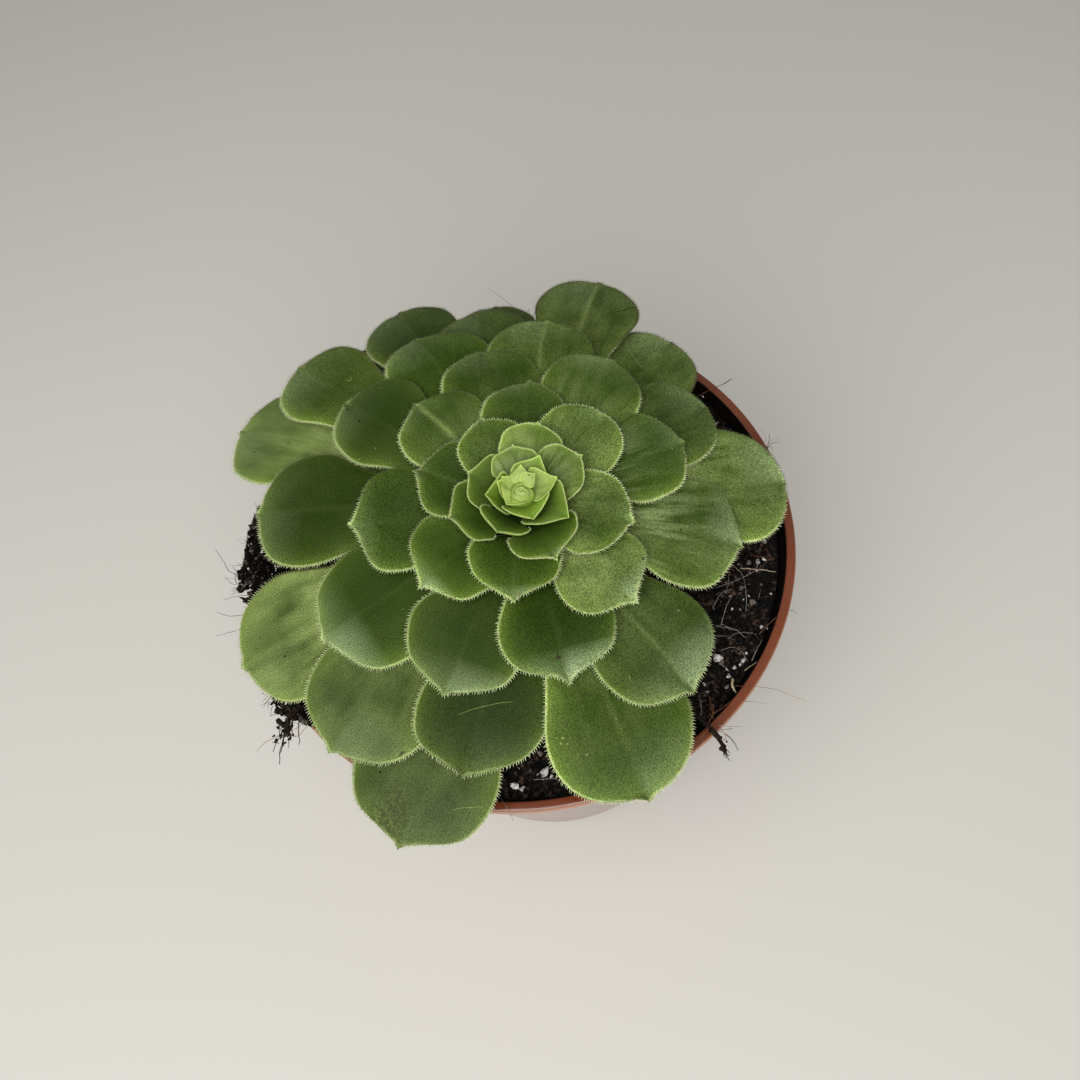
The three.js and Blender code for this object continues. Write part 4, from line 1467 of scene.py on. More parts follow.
@dataclass
class Rosette:
    """All leaves, the crown and the hairs along the margins."""

    dome: Dome
    palette: Palette
    inner_leaves: int = 22
    speck_seed: int = 3
    core_sides: int = 24

    def build(self) -> None:
        """Makes every leaf, the crown and the marks on them."""
        inner, outer = [], []
        for i, blade in enumerate(LEAVES, 1):
            leaf = Leaf(blade, self.dome)
            name = f"leaf_{i:02d}"
            self._dress([leaf.mesh()], f"{name}_blade", self.palette.leaf, [name])
            (inner if i <= self.inner_leaves else outer).append(leaf.hairs())
        self._dress(inner, "inner_leaf_hairs", self.palette.hair)
        self._dress(outer, "outer_leaf_hairs", self.palette.hair)
        self.crown()
        self.markings()

    def _dress(
        self,
        shapes: list[Shape],
        name: str,
        material: bpy.types.Material,
        stands_for: Iterable[str] = (),
    ) -> None:
        """Joins shapes, moves them to their place in the part and dresses them."""
        dress(Shape.joined(shapes).moved(self.dome.to_part()), name, material, stands_for)

    def markings(self) -> None:
        """Scratches, a healed spot and specks of peat on the leaves."""
        rng = np.random.default_rng(self.speck_seed)
        pale, dark = [], []
        for mark in LEAF_MARKS:
            line = curve_through(Leaf(LEAVES[mark.leaf - 1], self.dome).on_top(mark.places, 0.02), 6)
            taper = mark.radius * np.sin(np.linspace(0.12, 0.88, len(line)) * math.pi) ** 0.4
            (dark if mark.dark else pale).append(thread(line, taper))
        for leaf, x, y, radius in SCARS:
            spot = Leaf(LEAVES[leaf - 1], self.dome).on_top([(x, y)], -0.6 * radius)
            pale.append(clods(spot, np.array([radius]), rng, 0.2, 0.5).without_marks())
        for leaf, x, y, radius in SPECKS:
            spot = Leaf(LEAVES[leaf - 1], self.dome).on_top([(x, y)], 0.1)
            dark.append(clods(spot, np.array([radius]), rng, 0.35, 0.6).without_marks())
        matrix = self.dome.to_part()
        scars, specks = Shape.joined(pale).moved(matrix), Shape.joined(dark).moved(matrix)
        dress(scars.with_grain(), "leaf_scratches", self.palette.scar)
        dress(specks.with_grain(), "leaf_specks", self.palette.dark_root)

    def crown(self) -> None:
        """The youngest leaves and the bud on a small round tip."""
        leaves = []
        for blade in YOUNG_LEAVES:
            leaves.append(Leaf(blade, self.dome, max(0.7, self.dome.foot(blade.number) - 1.2)))
        parts = [leaf.mesh() for leaf in leaves]
        numbers = np.linspace(10, 0, 8)
        feet = np.array([self.dome.foot(n) - 0.5 for n in numbers])
        heights = np.array([float(self.dome.height(n, f)) - 2.5 for n, f in zip(numbers, feet)])
        profile = np.vstack([[(0, heights[0])], np.stack([feet, heights], -1), [(0, heights[-1] + 1.2)]])
        core = turned(profile, self.core_sides)
        core.marks = leaf_marks(core.points, edge=5.0, age=0.3, tone=0.8)
        parts += [core, Bud().shape(self.dome)]
        self._dress(parts, "crown_bud", self.palette.leaf, ["crown"])
        hairs = [leaf.hairs() for leaf in leaves]
        self._dress(hairs, "crown_hairs", self.palette.hair)


# Stem and pot
@dataclass
class Stem:
    """Short bare stem ringed with the scars of old leaves."""

    radius: float = 6.2
    root_radius: float = 4.6
    root_height: float = 66.0
    bare_from: float = 92.0
    crown_from: float = 10.0
    oldest_leaf: float = 57.0
    foot_gap: float = 0.45
    foot_depth: float = 2.5
    ring_pitch: float = 2.1
    sides: int = 72

    def build(self, dome: Dome, palette: Palette) -> None:
        """Turns the stem and roughens it.

        Args:
            dome: The nest of shells that the leaves lie on.
            palette: The finishes.
        """
        shape = turned(self._profile(dome), self.sides)
        p = shape.points
        out = np.hypot(p[:, 0], p[:, 1])
        turn = np.arctan2(p[:, 1], p[:, 0])
        level = (p[:, 2] - self.root_height) / self.ring_pitch
        ridge = 0.22 * np.sin(level * 2 * math.pi + turn) + 0.16 * np.sin(5 * turn + 3 * level)
        grow = (ridge + 0.3 * fractal(p, 0.35)) * smooth((out - 2.0) / 2.0) - 0.15
        p[:, :2] *= (1 + np.minimum(grow, 0.1) / np.maximum(out, 1.0))[:, None]
        dress(shape.with_grain().moved(dome.to_part()), "bare_stem", palette.stem, ["stem"])

    def _profile(self, dome: Dome) -> np.ndarray:
        """Half section from the end in the peat up to the crown.

        Args:
            dome: The nest of shells that the leaves lie on.

        Returns:
            Radii and heights.
        """
        numbers = np.linspace(self.oldest_leaf, self.crown_from, 30)
        feet = np.array([dome.foot(n) for n in numbers])
        heights = np.array([float(dome.height(n, foot)) for n, foot in zip(numbers, feet)]) - self.foot_depth
        head = np.stack([feet - self.foot_gap, heights], -1)
        low = np.array([self.radius, self.bare_from])
        bare = low + (head[0] - low) * np.linspace(0, 1, 26)[:-1, None]
        root = [(0, 0), (self.root_radius - 1.5, 0), (self.root_radius, 4)]
        return np.vstack([np.array(root) + (0, self.root_height), bare, head, [(0, heights[-1])]])


@dataclass
class Pot:
    """Thin moulded nursery pot with a narrow flat lip and holes in its base."""

    height: float = 105.0
    rim_radius: float = 60.0
    lip_width: float = 2.2
    lip_depth: float = 2.6
    wall: float = 1.3
    wall_top_radius: float = 58.6
    base_radius: float = 41.0
    base_thickness: float = 1.8
    drain_holes: int = 6
    drain_radius: float = 3.5
    drain_circle: float = 29.0
    sharp_angle: float = math.radians(40)
    sides: int = 240

    def inner_radius(self, height: float) -> float:
        """Radius of the inner face at a height."""
        t = height / (self.height - self.lip_depth)
        return self.base_radius + (self.wall_top_radius - self.base_radius) * t - self.wall

    @staticmethod
    def _arc(x: float, z: float, radius: float, start: float, end: float) -> list:
        """Points of an arc in the profile.

        Args:
            x: Radius of the arc's centre in the pot.
            z: Its height.
            radius: The arc's own radius.
            start: First angle in degrees.
            end: Last angle.

        Returns:
            Five points.
        """
        angles = np.radians(np.linspace(start, end, 5))
        return [(x + radius * math.cos(a), z + radius * math.sin(a)) for a in angles]

    def profile(self) -> np.ndarray:
        """Half section from the underside's centre round to the floor's centre.

        Returns:
            Radii and heights.
        """
        low, floor, middle = self.height - self.lip_depth, self.base_thickness, 20.0
        lip_inner = self.rim_radius - self.lip_width
        flare = self.wall_top_radius - self.base_radius
        corner = self.inner_radius(floor)
        points = [(0, 0), (middle, 0), (self.base_radius - 3, 0)]
        points += self._arc(self.base_radius - 0.8, 0.8, 0.8, -90, -10)
        points += [(self.base_radius + flare * t, low * t) for t in np.linspace(0.02, 0.995, 24)]
        points += self._arc(self.rim_radius - 0.4, low + 0.4, 0.4, -90, 0)
        points += self._arc(self.rim_radius - 0.6, self.height - 0.6, 0.6, 0, 90)
        points += self._arc(lip_inner + 0.5, self.height - 0.5, 0.5, 90, 180)
        points += [(self.inner_radius(h), h) for h in np.linspace(low - 1.5, floor + 1.5, 20)]
        points += [(corner - 0.5, floor + 0.4), (corner - 1.6, floor), (middle, floor), (0, floor)]
        return np.array(points)

    def build(self, palette: Palette) -> None:
        """Turns the pot, drills its base and dresses it.

        Args:
            palette: The finishes.
        """
        shape = turned(self.profile(), self.sides)
        z = shape.points[:, 2]
        out = np.hypot(shape.points[:, 0], shape.points[:, 1])
        inner = np.array([self.inner_radius(h) for h in z])
        lip_inner = self.rim_radius - self.lip_width
        inside = (out < np.minimum(inner + 0.3, lip_inner + 0.2)) & (z > self.base_thickness - 0.1)
        shape.marks["inside"] = inside.astype(float)
        shape.marks["lip"] = smooth((out - self.rim_radius + 0.3) / 0.25)
        pot = dress(shape.with_grain(), "nursery_pot", palette.pot, ["pot"])
        pot.data.materials.append(palette.wall_dust_and_shade)
        # Faces inside the pot take the near-black finish: peat residue and painted shade
        dusty_and_shaded = [int(inside[list(face)].all()) for face in shape.faces]
        pot.data.polygons.foreach_set("material_index", dusty_and_shaded)
        self._drill(pot)

    def _drill(self, pot: bpy.types.Object) -> None:
        """Cuts the drain holes out of the base.

        Args:
            pot: The pot without holes.
        """
        r, half = self.drain_radius, 1.5 * self.base_thickness
        bit = turned(np.array([(0, -half), (r, -half), (r, half), (0, half)]), 32)
        bits = []
        for i in range(self.drain_holes):
            angle = (i + 0.5) / self.drain_holes * 2 * math.pi
            x, y = self.drain_circle * math.cos(angle), self.drain_circle * math.sin(angle)
            bits.append(Shape(bit.points + (x, y, self.base_thickness / 2), bit.faces))
        cutter = placed("drills", Shape.joined(bits).mesh("drills"))
        cut = pot.modifiers.new("drain_holes", "BOOLEAN")
        cut.operation = "DIFFERENCE"
        cut.solver = "EXACT"
        cut.object = cutter
        bpy.context.view_layer.update()
        drilled = bpy.data.meshes.new_from_object(pot.evaluated_get(bpy.context.evaluated_depsgraph_get()))
        pot.modifiers.clear()
        pot.data = drilled
        drilled.polygons.foreach_set("use_smooth", [True] * len(drilled.polygons))
        drilled.set_sharp_from_angle(angle=self.sharp_angle)
        bpy.data.objects.remove(cutter)


# Peat and roots
class Root(Enum):
    """Kinds of root thread, by the palette's name for their finish."""

    GREY = "grey_root"
    STRAW = "straw"
    RUSSET = "russet_root"
    DARK = "dark_root"


@dataclass(frozen=True)
class Strand:
    """One root thread through points, with its radius."""

    kind: Root
    radius: float
    points: tuple


# Threads that are seen on the peat and the rim
STRANDS = [
    Strand(Root.STRAW, 0.14, ((45.7, -16.5, 103.0), (49.3, -17.8, 103.4), (52.8, -18.8, 102.8))),
    Strand(Root.GREY, 0.06, (
        (50.0, -15.6, 103.2), (48.0, -18.1, 103.5), (41.4, -19.6, 102.8), (36.9, -19.2, 101.8),
    )),
    Strand(Root.GREY, 0.075, (
        (44.0, -15.1, 103.4), (45.5, -18.7, 103.8), (45.2, -22.9, 103.4), (44.4, -26.2, 102.2),
    )),
    Strand(Root.GREY, 0.07, ((37.7, -24.0, 102.4), (40.0, -21.7, 103.6), (42.5, -20.7, 102.6))),
    Strand(Root.GREY, 0.08, ((38.3, -28.6, 103.2), (40.3, -25.0, 104.0), (42.9, -21.6, 102.6))),
    Strand(Root.GREY, 0.08, ((37.0, -28.5, 103.4), (40.6, -30.1, 103.7), (42.9, -32.2, 102.4))),
    Strand(Root.GREY, 0.05, ((36.8, -30.6, 103.0), (38.6, -31.2, 103.3), (40.4, -32.2, 102.5))),
    Strand(Root.RUSSET, 0.07, (
        (45.6, -31.9, 102.6), (49.6, -29.6, 104.4), (52.3, -29.3, 106.0), (54.0, -29.8, 104.9),
    )),
    Strand(Root.GREY, 0.06, (
        (36.9, -34.1, 103.4), (39.2, -34.0, 103.8), (40.9, -35.2, 103.4), (41.7, -37.2, 102.6),
    )),
    Strand(Root.GREY, 0.075, ((42.5, -37.4, 102.9), (44.0, -35.5, 103.7), (45.9, -33.2, 102.8))),
    Strand(Root.STRAW, 0.08, ((40.4, -39.2, 103.2), (42.3, -38.6, 104.0), (44.1, -38.0, 104.2))),
    Strand(Root.STRAW, 0.32, ((37.7, -40.4, 102.8), (37.2, -41.9, 103.3), (37.6, -43.3, 102.7))),
    Strand(Root.RUSSET, 0.055, (
        (37.2, -42.0, 103.2), (40.8, -43.6, 105.6), (45.2, -45.6, 106.4), (50.4, -48.6, 105.0),
    )),
    Strand(Root.RUSSET, 0.08, ((34.6, -45.7, 103.0), (36.6, -45.0, 104.4), (39.6, -43.2, 104.6))),
    Strand(Root.GREY, 0.06, ((38.2, -46.2, 105.4), (40.6, -46.9, 105.9), (42.8, -47.6, 105.2))),
    Strand(Root.RUSSET, 0.07, ((31.4, -49.6, 105.2), (28.6, -52.2, 105.7), (25.6, -54.6, 105.4))),
    Strand(Root.RUSSET, 0.05, ((30.4, -47.6, 104.2), (33.4, -46.8, 105.4), (37.8, -44.4, 104.6))),
    Strand(Root.GREY, 0.07, ((32.0, -50.0, 105.8), (34.4, -50.9, 106.0), (36.6, -51.1, 105.6))),
    Strand(Root.DARK, 0.1, ((33.0, -52.0, 105.7), (34.2, -53.6, 105.0), (34.8, -55.2, 103.8))),
    Strand(Root.GREY, 0.07, (
        (-13.1, -55.2, 103.0), (-12.1, -57.4, 105.7), (-11.4, -59.4, 105.5), (-11.2, -60.4, 103.6),
    )),
    Strand(Root.GREY, 0.05, ((-6.0, -53.0, 103.0), (-2.0, -53.8, 103.6), (2.6, -55.2, 103.0))),
    Strand(Root.RUSSET, 0.11, ((46.2, 29.0, 102.6), (50.4, 28.5, 105.6), (53.4, 28.4, 107.2))),
    Strand(Root.DARK, 0.11, ((53.2, 28.4, 107.1), (54.4, 28.6, 107.7), (55.2, 28.8, 108.0))),
    Strand(Root.DARK, 0.07, ((57.0, 9.0, 104.6), (59.2, 11.0, 106.4), (59.6, 12.6, 107.4))),
    Strand(Root.DARK, 0.07, ((57.0, 9.0, 104.6), (59.6, 10.4, 106.6), (61.0, 10.2, 107.0))),
    Strand(Root.DARK, 0.06, ((57.0, 9.0, 104.6), (58.8, 9.8, 106.6), (59.4, 8.4, 107.2))),
    Strand(Root.GREY, 0.05, ((57.0, 9.4, 104.6), (58.6, 12.0, 107.0), (58.0, 14.0, 107.6))),
    Strand(Root.GREY, 0.05, ((57.4, 9.0, 104.6), (60.4, 11.2, 107.6), (61.8, 9.4, 106.4))),
    Strand(Root.DARK, 0.07, (
        (-60.4, 2.0, 106.5), (-64.6, 4.6, 106.4), (-66.4, 8.0, 106.0), (-67.9, 11.1, 106.4),
    )),
    Strand(Root.DARK, 0.06, ((-61.0, -1.8, 106.2), (-63.6, -1.7, 106.4), (-66.6, -1.7, 106.0))),
    Strand(Root.DARK, 0.06, ((-62.0, -6.4, 106.0), (-65.5, -5.9, 106.2), (-68.2, -4.3, 105.8))),
    Strand(Root.DARK, 0.06, ((-61.5, -9.4, 106.0), (-65.0, -9.7, 106.0), (-68.6, -9.7, 105.4))),
    Strand(Root.RUSSET, 0.07, ((-56.6, -34.0, 103.4), (-59.6, -34.6, 102.6), (-61.8, -35.9, 101.8))),
    Strand(Root.RUSSET, 0.07, ((-55.6, -33.6, 104.2), (-52.4, -35.2, 104.4), (-49.2, -33.0, 105.6))),
    Strand(Root.RUSSET, 0.07, (
        (26.2, -53.0, 105.4), (28.7, -51.4, 105.9), (31.4, -49.3, 106.0), (37.2, -45.1, 104.8),
    )),
    Strand(Root.RUSSET, 0.09, (
        (28.2, -51.9, 104.5), (30.0, -49.6, 105.0), (31.7, -47.3, 105.0), (32.2, -45.2, 104.2),
    )),
    Strand(Root.RUSSET, 0.08, ((32.1, -43.2, 103.6), (31.7, -45.8, 104.6), (31.6, -48.9, 104.4))),
    Strand(Root.RUSSET, 0.07, ((31.9, -50.4, 106.0), (32.7, -52.3, 106.4), (32.7, -53.6, 105.6))),
    Strand(Root.RUSSET, 0.09, ((29.4, -48.4, 104.8), (31.0, -50.5, 105.9), (32.3, -51.4, 105.4))),
    Strand(Root.GREY, 0.09, ((34.6, -51.2, 105.6), (33.6, -51.3, 106.1), (32.4, -51.0, 106.0))),
    Strand(Root.DARK, 0.05, (
        (11.6, 59.4, 105.0), (11.1, 60.5, 106.0), (7.0, 66.5, 106.3), (3.6, 71.5, 106.0),
    )),
    Strand(Root.DARK, 0.07, ((12.2, 59.3, 105.0), (12.5, 60.9, 106.0), (12.5, 62.3, 106.2))),
    Strand(Root.DARK, 0.06, ((12.6, 59.2, 105.0), (13.2, 59.9, 106.2), (14.1, 60.9, 106.2))),
    Strand(Root.DARK, 0.06, ((12.2, 59.3, 105.0), (11.8, 60.6, 106.0), (10.9, 61.3, 106.2))),
]


@dataclass(frozen=True)
class Heap:
    """Peat that lies over the rim between two azimuths in degrees.

    The outer radii belong to the azimuths in the list before them.
    """

    start: float
    end: float
    top: float
    count: int
    azimuths: tuple
    radii: tuple

    def reach(self, azimuth: np.ndarray) -> np.ndarray:
        """Outer radius at an azimuth in degrees."""
        return np.interp(azimuth, self.azimuths, self.radii)


# Perlite that is seen: x, y, radius
SEEN_GRAINS = [
    (49.7, -15.6, 0.55), (51.1, -15.6, 0.65), (49.5, -20.3, 0.28), (46.2, -22.5, 0.32),
    (46.9, -24.0, 0.25), (45.7, -20.3, 0.25), (44.8, -23.0, 0.25), (41.8, -24.8, 0.32),
    (46.9, -29.7, 0.5), (47.8, -30.6, 0.35), (50.6, -23.1, 0.3), (35.8, -35.4, 0.75),
    (41.2, -36.3, 0.65), (37.1, -37.4, 0.7), (37.3, -39.0, 0.6), (38.9, -37.5, 0.4),
    (42.2, -35.0, 0.35), (31.8, -40.1, 0.35), (32.3, -41.3, 0.28), (27.9, -44.9, 0.28),
    (25.0, -42.8, 0.95), (25.8, -44.1, 0.6), (50.3, 21.8, 0.5), (48.7, 21.9, 0.35),
    (48.7, 29.2, 0.3), (52.0, -7.3, 0.6), (50.3, -9.7, 0.75), (48.3, -7.8, 0.5),
    (50.5, -6.2, 0.45), (-10.0, -53.4, 0.8), (-3.6, -51.7, 0.95), (-2.4, -52.6, 0.6),
    (-8.6, -54.2, 0.5),
]


@dataclass
class Peat:
    """Peat in the pot, with the crumbs that have spilled over the rim."""

    level: float = 101.0
    wave: float = 1.0
    ripple: float = 0.6
    dip: float = 5.5
    dip_radius: float = 24.0
    clearance: float = 0.45
    rings: int = 96
    sides: int = 200
    seed: int = 7
    crumb_count: int = 8000
    grain_count: int = 620
    thread_count: int = 420
    scatter_radius: float = 55.0
    heap_from: float = 53.5
    lip_from: float = 57.0
    grains_in_heap: int = 60
    fibres_in_heap: int = 45
    heaps: tuple = (
        Heap(
            160, 185, 105.4, 4200,
            (160, 164, 169, 174, 176, 179, 182, 184), (61.5, 62.2, 62.4, 62.3, 64.3, 64.2, 63, 60),
        ),
        Heap(202, 215, 105.0, 900, (202, 205, 208, 211, 215), (62.6, 64.2, 63.4, 61.8, 60)),
    )

    def height(self, x: np.ndarray, y: np.ndarray) -> np.ndarray:
        """Mean height of the surface.

        Args:
            x: Places in plan.
            y: Places in plan.

        Returns:
            Heights.
        """
        waves = self.wave * np.sin(0.19 * x + 0.6) * np.cos(0.17 * y - 0.4)
        ripples = self.ripple * np.sin(0.43 * x - 0.31 * y + 1.9)
        return self.level + waves + ripples - self.dip * np.exp(-((np.hypot(x, y) / self.dip_radius) ** 2))

    def relief(self, x: np.ndarray, y: np.ndarray) -> np.ndarray:
        """Roughness over the mean height."""
        flat = np.stack([x, y, np.zeros_like(x)], -1)
        return 1.5 * fractal(flat, 0.22, 3) + 1.1 * np.abs(fractal(flat + 31, 0.5, 3)) - 0.5

    def top(self, x: np.ndarray, y: np.ndarray) -> np.ndarray:
        """Height of the rough surface."""
        return self.height(x, y) + self.relief(x, y)

    def build(self, pot: Pot, palette: Palette) -> None:
        """Makes the peat, its crumbs, the grains in it and the threads on it.

        Args:
            pot: The pot that it fills.
            palette: The finishes.
        """
        rng = np.random.default_rng(self.seed)
        self._body(pot, palette)
        self._crumbs(pot, palette, rng)
        self._spill(palette, rng)
        self._grains(palette, rng)
        self._threads(pot, palette, rng)

    def _body(self, pot: Pot, palette: Palette) -> None:
        """The filled pot's peat as one closed body.

        Args:
            pot: The pot that it fills.
            palette: The finishes.
        """
        edge = pot.inner_radius(self.level) - self.clearance
        bottom = pot.base_thickness + self.clearance
        low = pot.inner_radius(bottom) - self.clearance
        depth = self.level - 2 - bottom
        profile = [(0, bottom), (low, bottom)]
        profile += [(low + (edge - low) * t, bottom + depth * t) for t in (0.25, 0.5, 0.75, 1.0)]
        profile += [(r, self.level) for r in np.linspace(edge, 0, self.rings)]
        shape = turned(np.array(profile), self.sides)
        p = shape.points
        on_top = p[:, 2] > self.level - 1
        x, y = p[on_top, 0], p[on_top, 1]
        fade = smooth((edge - np.hypot(x, y)) / 3.0) * 0.8 + 0.2
        p[on_top, 2] = self.height(x, y) + self.relief(x, y) * fade
        shape.marks["tone"] = np.zeros(len(p))
        dress(shape.with_grain(), "peat_bed", palette.peat, ["soil"])

    def _crumbs(self, pot: Pot, palette: Palette, rng: np.random.Generator) -> None:
        """Loose crumbs over the surface.

        Args:
            pot: The pot that they lie in.
            palette: The finishes.
            rng: Random generator.
        """
        count = self.crumb_count
        r = (pot.inner_radius(self.level) - 1.2) * np.sqrt(rng.uniform(0.12, 1, count))
        a = rng.uniform(0, 2 * math.pi, count)
        size = 0.16 + 0.7 * rng.uniform(0, 1, count) ** 3
        x, y = r * np.cos(a), r * np.sin(a)
        centres = np.stack([x, y, self.top(x, y) + size * rng.uniform(-0.2, 0.8, count)], -1)
        crumbs = clods(centres, size, rng, 0.35, 0.5)
        dress(crumbs.with_grain(), "peat_crumbs", palette.peat, flat=True)

    def _spill(self, palette: Palette, rng: np.random.Generator) -> None:
        """Crumbs, fibres and perlite of the heaps that lie over the rim.

        Args:
            palette: The finishes.
            rng: Random generator.
        """
        crumbs = Shape.joined([self._heap(heap, rng) for heap in self.heaps])
        # The spilled crumbs use the darker peat copy: painted shade
        dress(crumbs.with_grain(), "spilled_peat", palette.shaded_spill, flat=True)
        self._spilled_fibres(palette, rng)
        count = self.grains_in_heap
        a, r = np.radians(rng.uniform(162, 180, count)), rng.uniform(52, 61.5, count)
        centres = np.stack([r * np.cos(a), r * np.sin(a), rng.uniform(105.4, 107.2, count)], -1)
        specks = clods(centres, rng.uniform(0.1, 0.34, count), rng, 0.3, 0.7)
        dress(specks.with_grain(), "spilled_perlite", palette.grain, flat=True)

    def _heap(self, heap: Heap, rng: np.random.Generator) -> Shape:
        """The crumbs of one heap, with bare spots outside the rim.

        Args:
            heap: The heap.
            rng: Random generator.

        Returns:
            The crumbs.
        """
        a = np.radians(rng.uniform(heap.start, heap.end, heap.count))
        outer = heap.reach(np.degrees(a)) - 0.35
        t = rng.uniform(0, 1, heap.count) ** 0.9
        r = self.heap_from + (outer - self.heap_from) * t
        x, y = r * np.cos(a), r * np.sin(a)
        hole = fractal(np.stack([x, y, np.full_like(x, 3.0)], -1), 0.55, 2)
        kept = (hole < 0.16) | (r < 60.4)
        x, y, r, t = x[kept], y[kept], r[kept], t[kept]
        size = 0.16 + 0.62 * rng.uniform(0, 1, len(r)) ** 2.2
        z = heap.top + rng.uniform(-0.2, 1.7, len(r)) * (1 - 0.6 * t)
        z = np.where(r < self.lip_from, np.minimum(z, 104.4 + 0.3 * (r - 52)), z)
        z = z - 0.5 * np.maximum(0, r - 61)
        return clods(np.stack([x, y, z], -1), size, rng, 0.42, 0.5)

    def _spilled_fibres(self, palette: Palette, rng: np.random.Generator) -> None:
        """Short fibres that stick out of the spilled peat.

        Args:
            palette: The finishes.
            rng: Random generator.
        """
        fibres = []
        t = np.linspace(0, 1, 6)
        for heap in self.heaps:
            for _ in range(self.fibres_in_heap):
                azimuth = rng.uniform(heap.start + 1, heap.end - 1)
                a = math.radians(azimuth)
                r = float(heap.reach(azimuth)) - rng.uniform(0.3, 3.0)
                way = a + rng.normal(0, 1.1)
                length, bend = rng.uniform(0.8, 3.0), rng.normal(0, 0.5)
                x = r * math.cos(a) + length * (t * math.cos(way) - bend * t**2 * math.sin(way))
                y = r * math.sin(a) + length * (t * math.sin(way) + bend * t**2 * math.cos(way))
                z = heap.top + 0.6 + rng.uniform(-0.4, 1.2) * t
                radii = rng.uniform(0.03, 0.08) * (1 - 0.5 * t)
                fibres.append(thread(np.stack([x, y, z], -1), radii, 4))
        dress(Shape.joined(fibres).with_grain(), "spilled_fibres", palette.dark_root)

    def _grains(self, palette: Palette, rng: np.random.Generator) -> None:
        """Perlite in and on the peat: the grains that are seen, then a scatter of small ones.

        Args:
            palette: The finishes.
            rng: Random generator.
        """
        count = self.grain_count
        r = self.scatter_radius * np.sqrt(rng.uniform(0.05, 1, count))
        a = rng.uniform(0, 2 * math.pi, count)
        size = 0.09 + 0.5 * rng.uniform(0, 1, count) ** 6
        scatter = np.stack([r * np.cos(a), r * np.sin(a), size], -1)
        x, y, size = np.vstack([SEEN_GRAINS, scatter]).T
        centres = np.stack([x, y, self.top(x, y) + 0.25 + 0.5 * size], -1)
        grains = clods(centres, size, rng, 0.55, 0.4)
        dress(grains.with_grain(), "perlite_grains", palette.grain, flat=True)

    def _threads(self, pot: Pot, palette: Palette, rng: np.random.Generator) -> None:
        """The threads that are seen, and a scatter of short ones half sunk in the peat.

        Args:
            pot: The pot that they lie in.
            palette: The finishes.
            rng: Random generator.
        """
        made: dict[Root, list] = {kind: [] for kind in Root}
        for strand in STRANDS:
            line = curve_through(strand.points, 7)
            line[1:-1] += rng.normal(0, 0.05, line[1:-1].shape)
            made[strand.kind].append(thread(line, strand.radius * np.linspace(1.0, 0.6, len(line))))
        kinds = (Root.DARK, Root.RUSSET, Root.DARK, Root.GREY)
        t = np.linspace(-0.5, 0.5, 7)
        for i in range(self.thread_count):
            r = self.scatter_radius * math.sqrt(rng.uniform(0.2, 1))
            a = rng.uniform(0, 2 * math.pi)
            way = rng.uniform(0, 2 * math.pi)
            length = rng.uniform(1.5, 7)
            bend = rng.uniform(-0.7, 0.7)
            x = r * math.cos(a) + length * (t * math.cos(way) - bend * t**2 * math.sin(way))
            y = r * math.sin(a) + length * (t * math.sin(way) + bend * t**2 * math.cos(way))
            if np.hypot(x, y).max() > pot.inner_radius(self.level) - 1.0:
                continue
            z = self.top(x, y) + 0.35 + rng.uniform(0.2, 1.2) * (1 - 3 * t**2)
            width = rng.uniform(0.03, 0.075) * (1.5 if i % 4 == 0 else 1.0)
            made[kinds[i % 4]].append(thread(np.stack([x, y, z], -1), np.full(7, width), 4))
        for kind, threads in made.items():
            material = getattr(palette, kind.value)
            dress(Shape.joined(threads).with_grain(), f"{kind.value}_threads", material)


@dataclass(frozen=True)
class Bunch:
    """Old roots that run together through points, with the crumbs that cling to them."""

    points: tuple
    strands: int
    spread: float
    radius: float
    crumbs: int
    crumb_spread: float

    def shape(self, rng: np.random.Generator) -> Shape:
        """The whole bunch.

        Args:
            rng: Random generator.

        Returns:
            Strands and crumbs as one shape.
        """
        parts = [self._strand(rng) for _ in range(self.strands)]
        line = curve_through(self.points, 8)
        pick = rng.integers(0, int(len(line) * 0.85), self.crumbs)
        centres = line[pick] + rng.normal(0, 0.5 * self.crumb_spread, (self.crumbs, 3))
        sizes = 0.15 + 0.5 * rng.uniform(0, 1, self.crumbs) ** 2
        parts.append(clods(centres, sizes, rng, 0.35, 0.6).without_marks())
        return Shape.joined(parts).with_grain()

    def _strand(self, rng: np.random.Generator) -> Shape:
        """One strand, which leaves the others towards its end.

        Args:
            rng: Random generator.

        Returns:
            The strand.
        """
        line = curve_through(self.points, 5)
        t = np.linspace(0, 1, len(line))[:, None]
        away = rng.normal(0, 1, 3) * self.spread * (1, 1, 0.5)
        line = line + away * (0.35 + 0.9 * t**2) + rng.normal(0, 0.12, line.shape)
        line = line[:rng.integers(int(len(line) * 0.7), len(line) + 1)]
        thick = self.radius * rng.uniform(0.5, 1.2)
        return thread(line, thick * np.linspace(1.0, 0.45, len(line)))


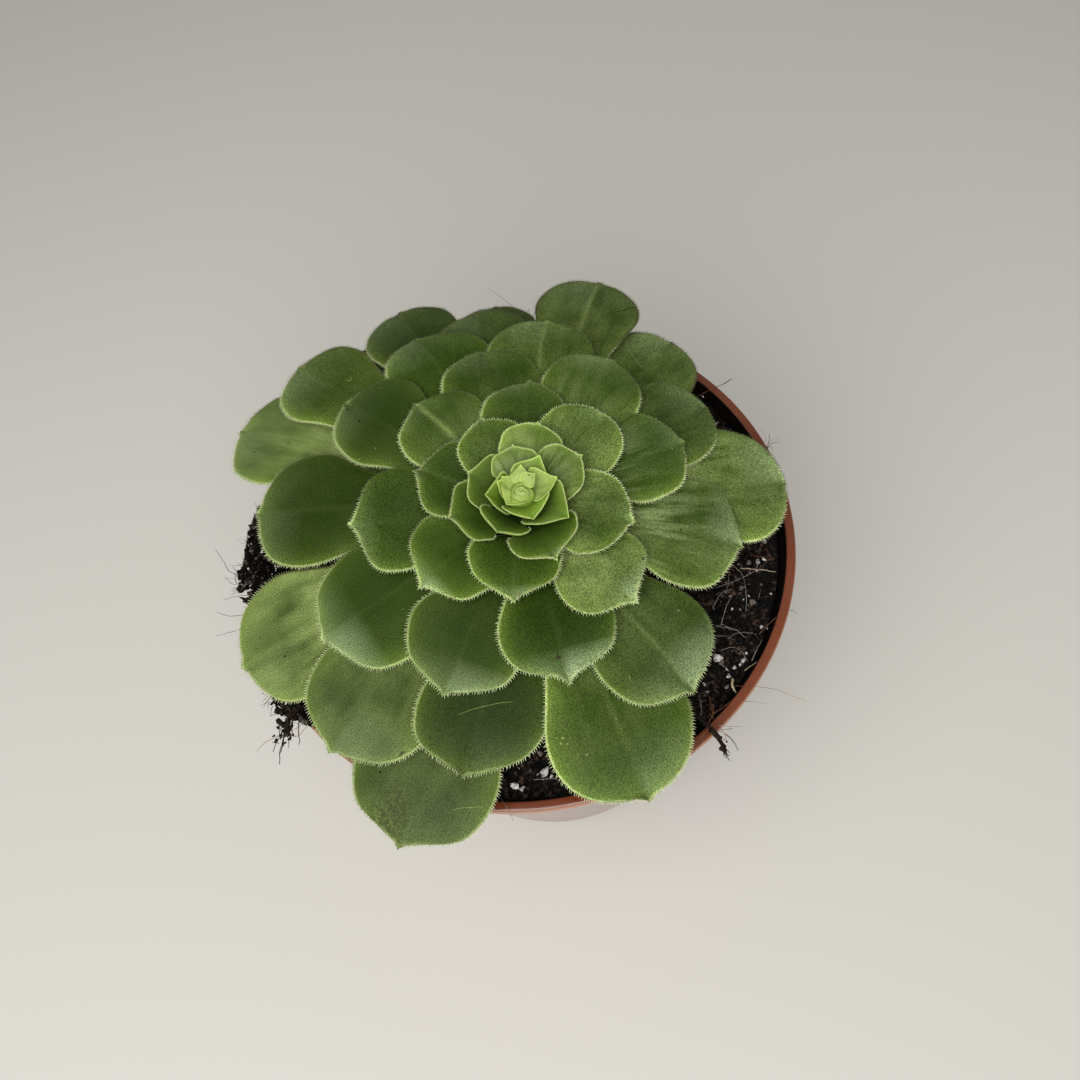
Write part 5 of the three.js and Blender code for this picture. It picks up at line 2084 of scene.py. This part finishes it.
@dataclass
class RootClump:
    """Clump of old roots that hangs over the rim, and a smaller bunch at the far side."""

    main: Bunch = Bunch(
        (
            (26.2, -43.6, 103.2), (27.6, -46.0, 105.2), (29.6, -49.6, 107.0),
            (31.2, -52.4, 107.2), (32.2, -54.9, 105.4), (32.9, -56.4, 102.4),
        ),
        strands=9, spread=0.34, radius=0.26, crumbs=70, crumb_spread=0.7,
    )
    far: Bunch = Bunch(
        ((-50.5, -27.5, 105.0), (-52.6, -30.4, 106.2), (-54.8, -33.6, 104.6), (-56.6, -36.0, 101.8)),
        strands=15, spread=1.1, radius=0.2, crumbs=170, crumb_spread=1.7,
    )
    seed: int = 19

    def build(self, palette: Palette) -> None:
        """Makes both bunches.

        Args:
            palette: The finishes.
        """
        rng = np.random.default_rng(self.seed)
        dark = palette.dark_root
        dress(self.main.shape(rng), "hanging_root_clump", dark, ["root_clump"])
        dress(self.far.shape(rng), "spilled_root_bunch", dark)


# The set
@dataclass
class Studio:
    """Pale floor, soft light and the camera."""

    camera_at: Point = (4.34, -103.32, 301.13)
    camera_right: Point = (0.9818, -0.1687, -0.0875)
    camera_up: Point = (0.19, 0.8714, 0.4522)
    lens: float = 33.33
    sensor_width: float = 36.0
    floor_half: float = 2.5
    floor_colour: Colour = rgb(0.66, 0.65, 0.62)
    key_at: Point = (-0.14, -0.36, 0.62)
    key_size: float = 0.8
    key_power: float = 6.1
    key_colour: Point = (1.0, 0.985, 0.965)
    key_looks_at: Point = (0.0, 0.0, 0.08)
    sky: Colour = rgb(1.0, 0.985, 0.88)
    sky_strength: float = 0.25

    def build(self) -> None:
        """Sets everything up."""
        self._camera()
        self._floor()
        self._key()
        world = bpy.data.worlds.new("soft_room")
        world.use_nodes = True
        background = world.node_tree.nodes["Background"]
        background.inputs["Color"].default_value = self.sky
        background.inputs["Strength"].default_value = self.sky_strength
        scene = bpy.context.scene
        scene.world = world
        scene.view_settings.view_transform = "Standard"
        scene.view_settings.look = "None"

    def _camera(self) -> None:
        """The photograph's angle."""
        right, up = Vector(self.camera_right).normalized(), Vector(self.camera_up).normalized()
        back = right.cross(up).normalized()
        up = back.cross(right)
        data = bpy.data.cameras.new("camera")
        data.lens = self.lens
        data.sensor_width = self.sensor_width
        data.clip_start = 0.01
        camera = placed("camera", data)
        turn = Matrix((right, up, back)).transposed().to_4x4()
        camera.matrix_world = Matrix.Translation(Vector(self.camera_at) * MM) @ turn
        bpy.context.scene.camera = camera

    def _floor(self) -> None:
        """A plain matte floor."""
        side = self.floor_half
        mesh = bpy.data.meshes.new("floor")
        corners = [(-side, -side, 0), (side, -side, 0), (side, side, 0), (-side, side, 0)]
        mesh.from_pydata(corners, [], [(0, 1, 2, 3)])
        mesh.materials.append(Painter("floor").finish(self.floor_colour, 0.75, Specular_IOR_Level=0.2))
        floor = placed("floor", mesh)

    def _key(self) -> None:
        """A soft round light that looks at the plant."""
        data = bpy.data.lights.new("key", "AREA")
        data.shape = "DISK"
        data.size = self.key_size
        data.energy = self.key_power
        data.color = self.key_colour
        light = placed("key", data)
        light.location = self.key_at
        light.rotation_mode = "QUATERNION"
        towards = Vector(self.key_looks_at) - Vector(self.key_at)
        light.rotation_quaternion = towards.to_track_quat("-Z", "Y")


def write_size() -> None:
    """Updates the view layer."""
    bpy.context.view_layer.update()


def main() -> None:
    """Builds the plant in its pot and the set around it."""
    logging.basicConfig(level=logging.INFO, format="%(name)s %(message)s")
    palette = Palette()
    dome = Dome()
    pot = Pot()
    Studio().build()
    Rosette(dome, palette).build()
    Stem().build(dome, palette)
    pot.build(palette)
    Peat().build(pot, palette)
    RootClump().build(palette)
    write_size()


if __name__ == "__main__":
    main()
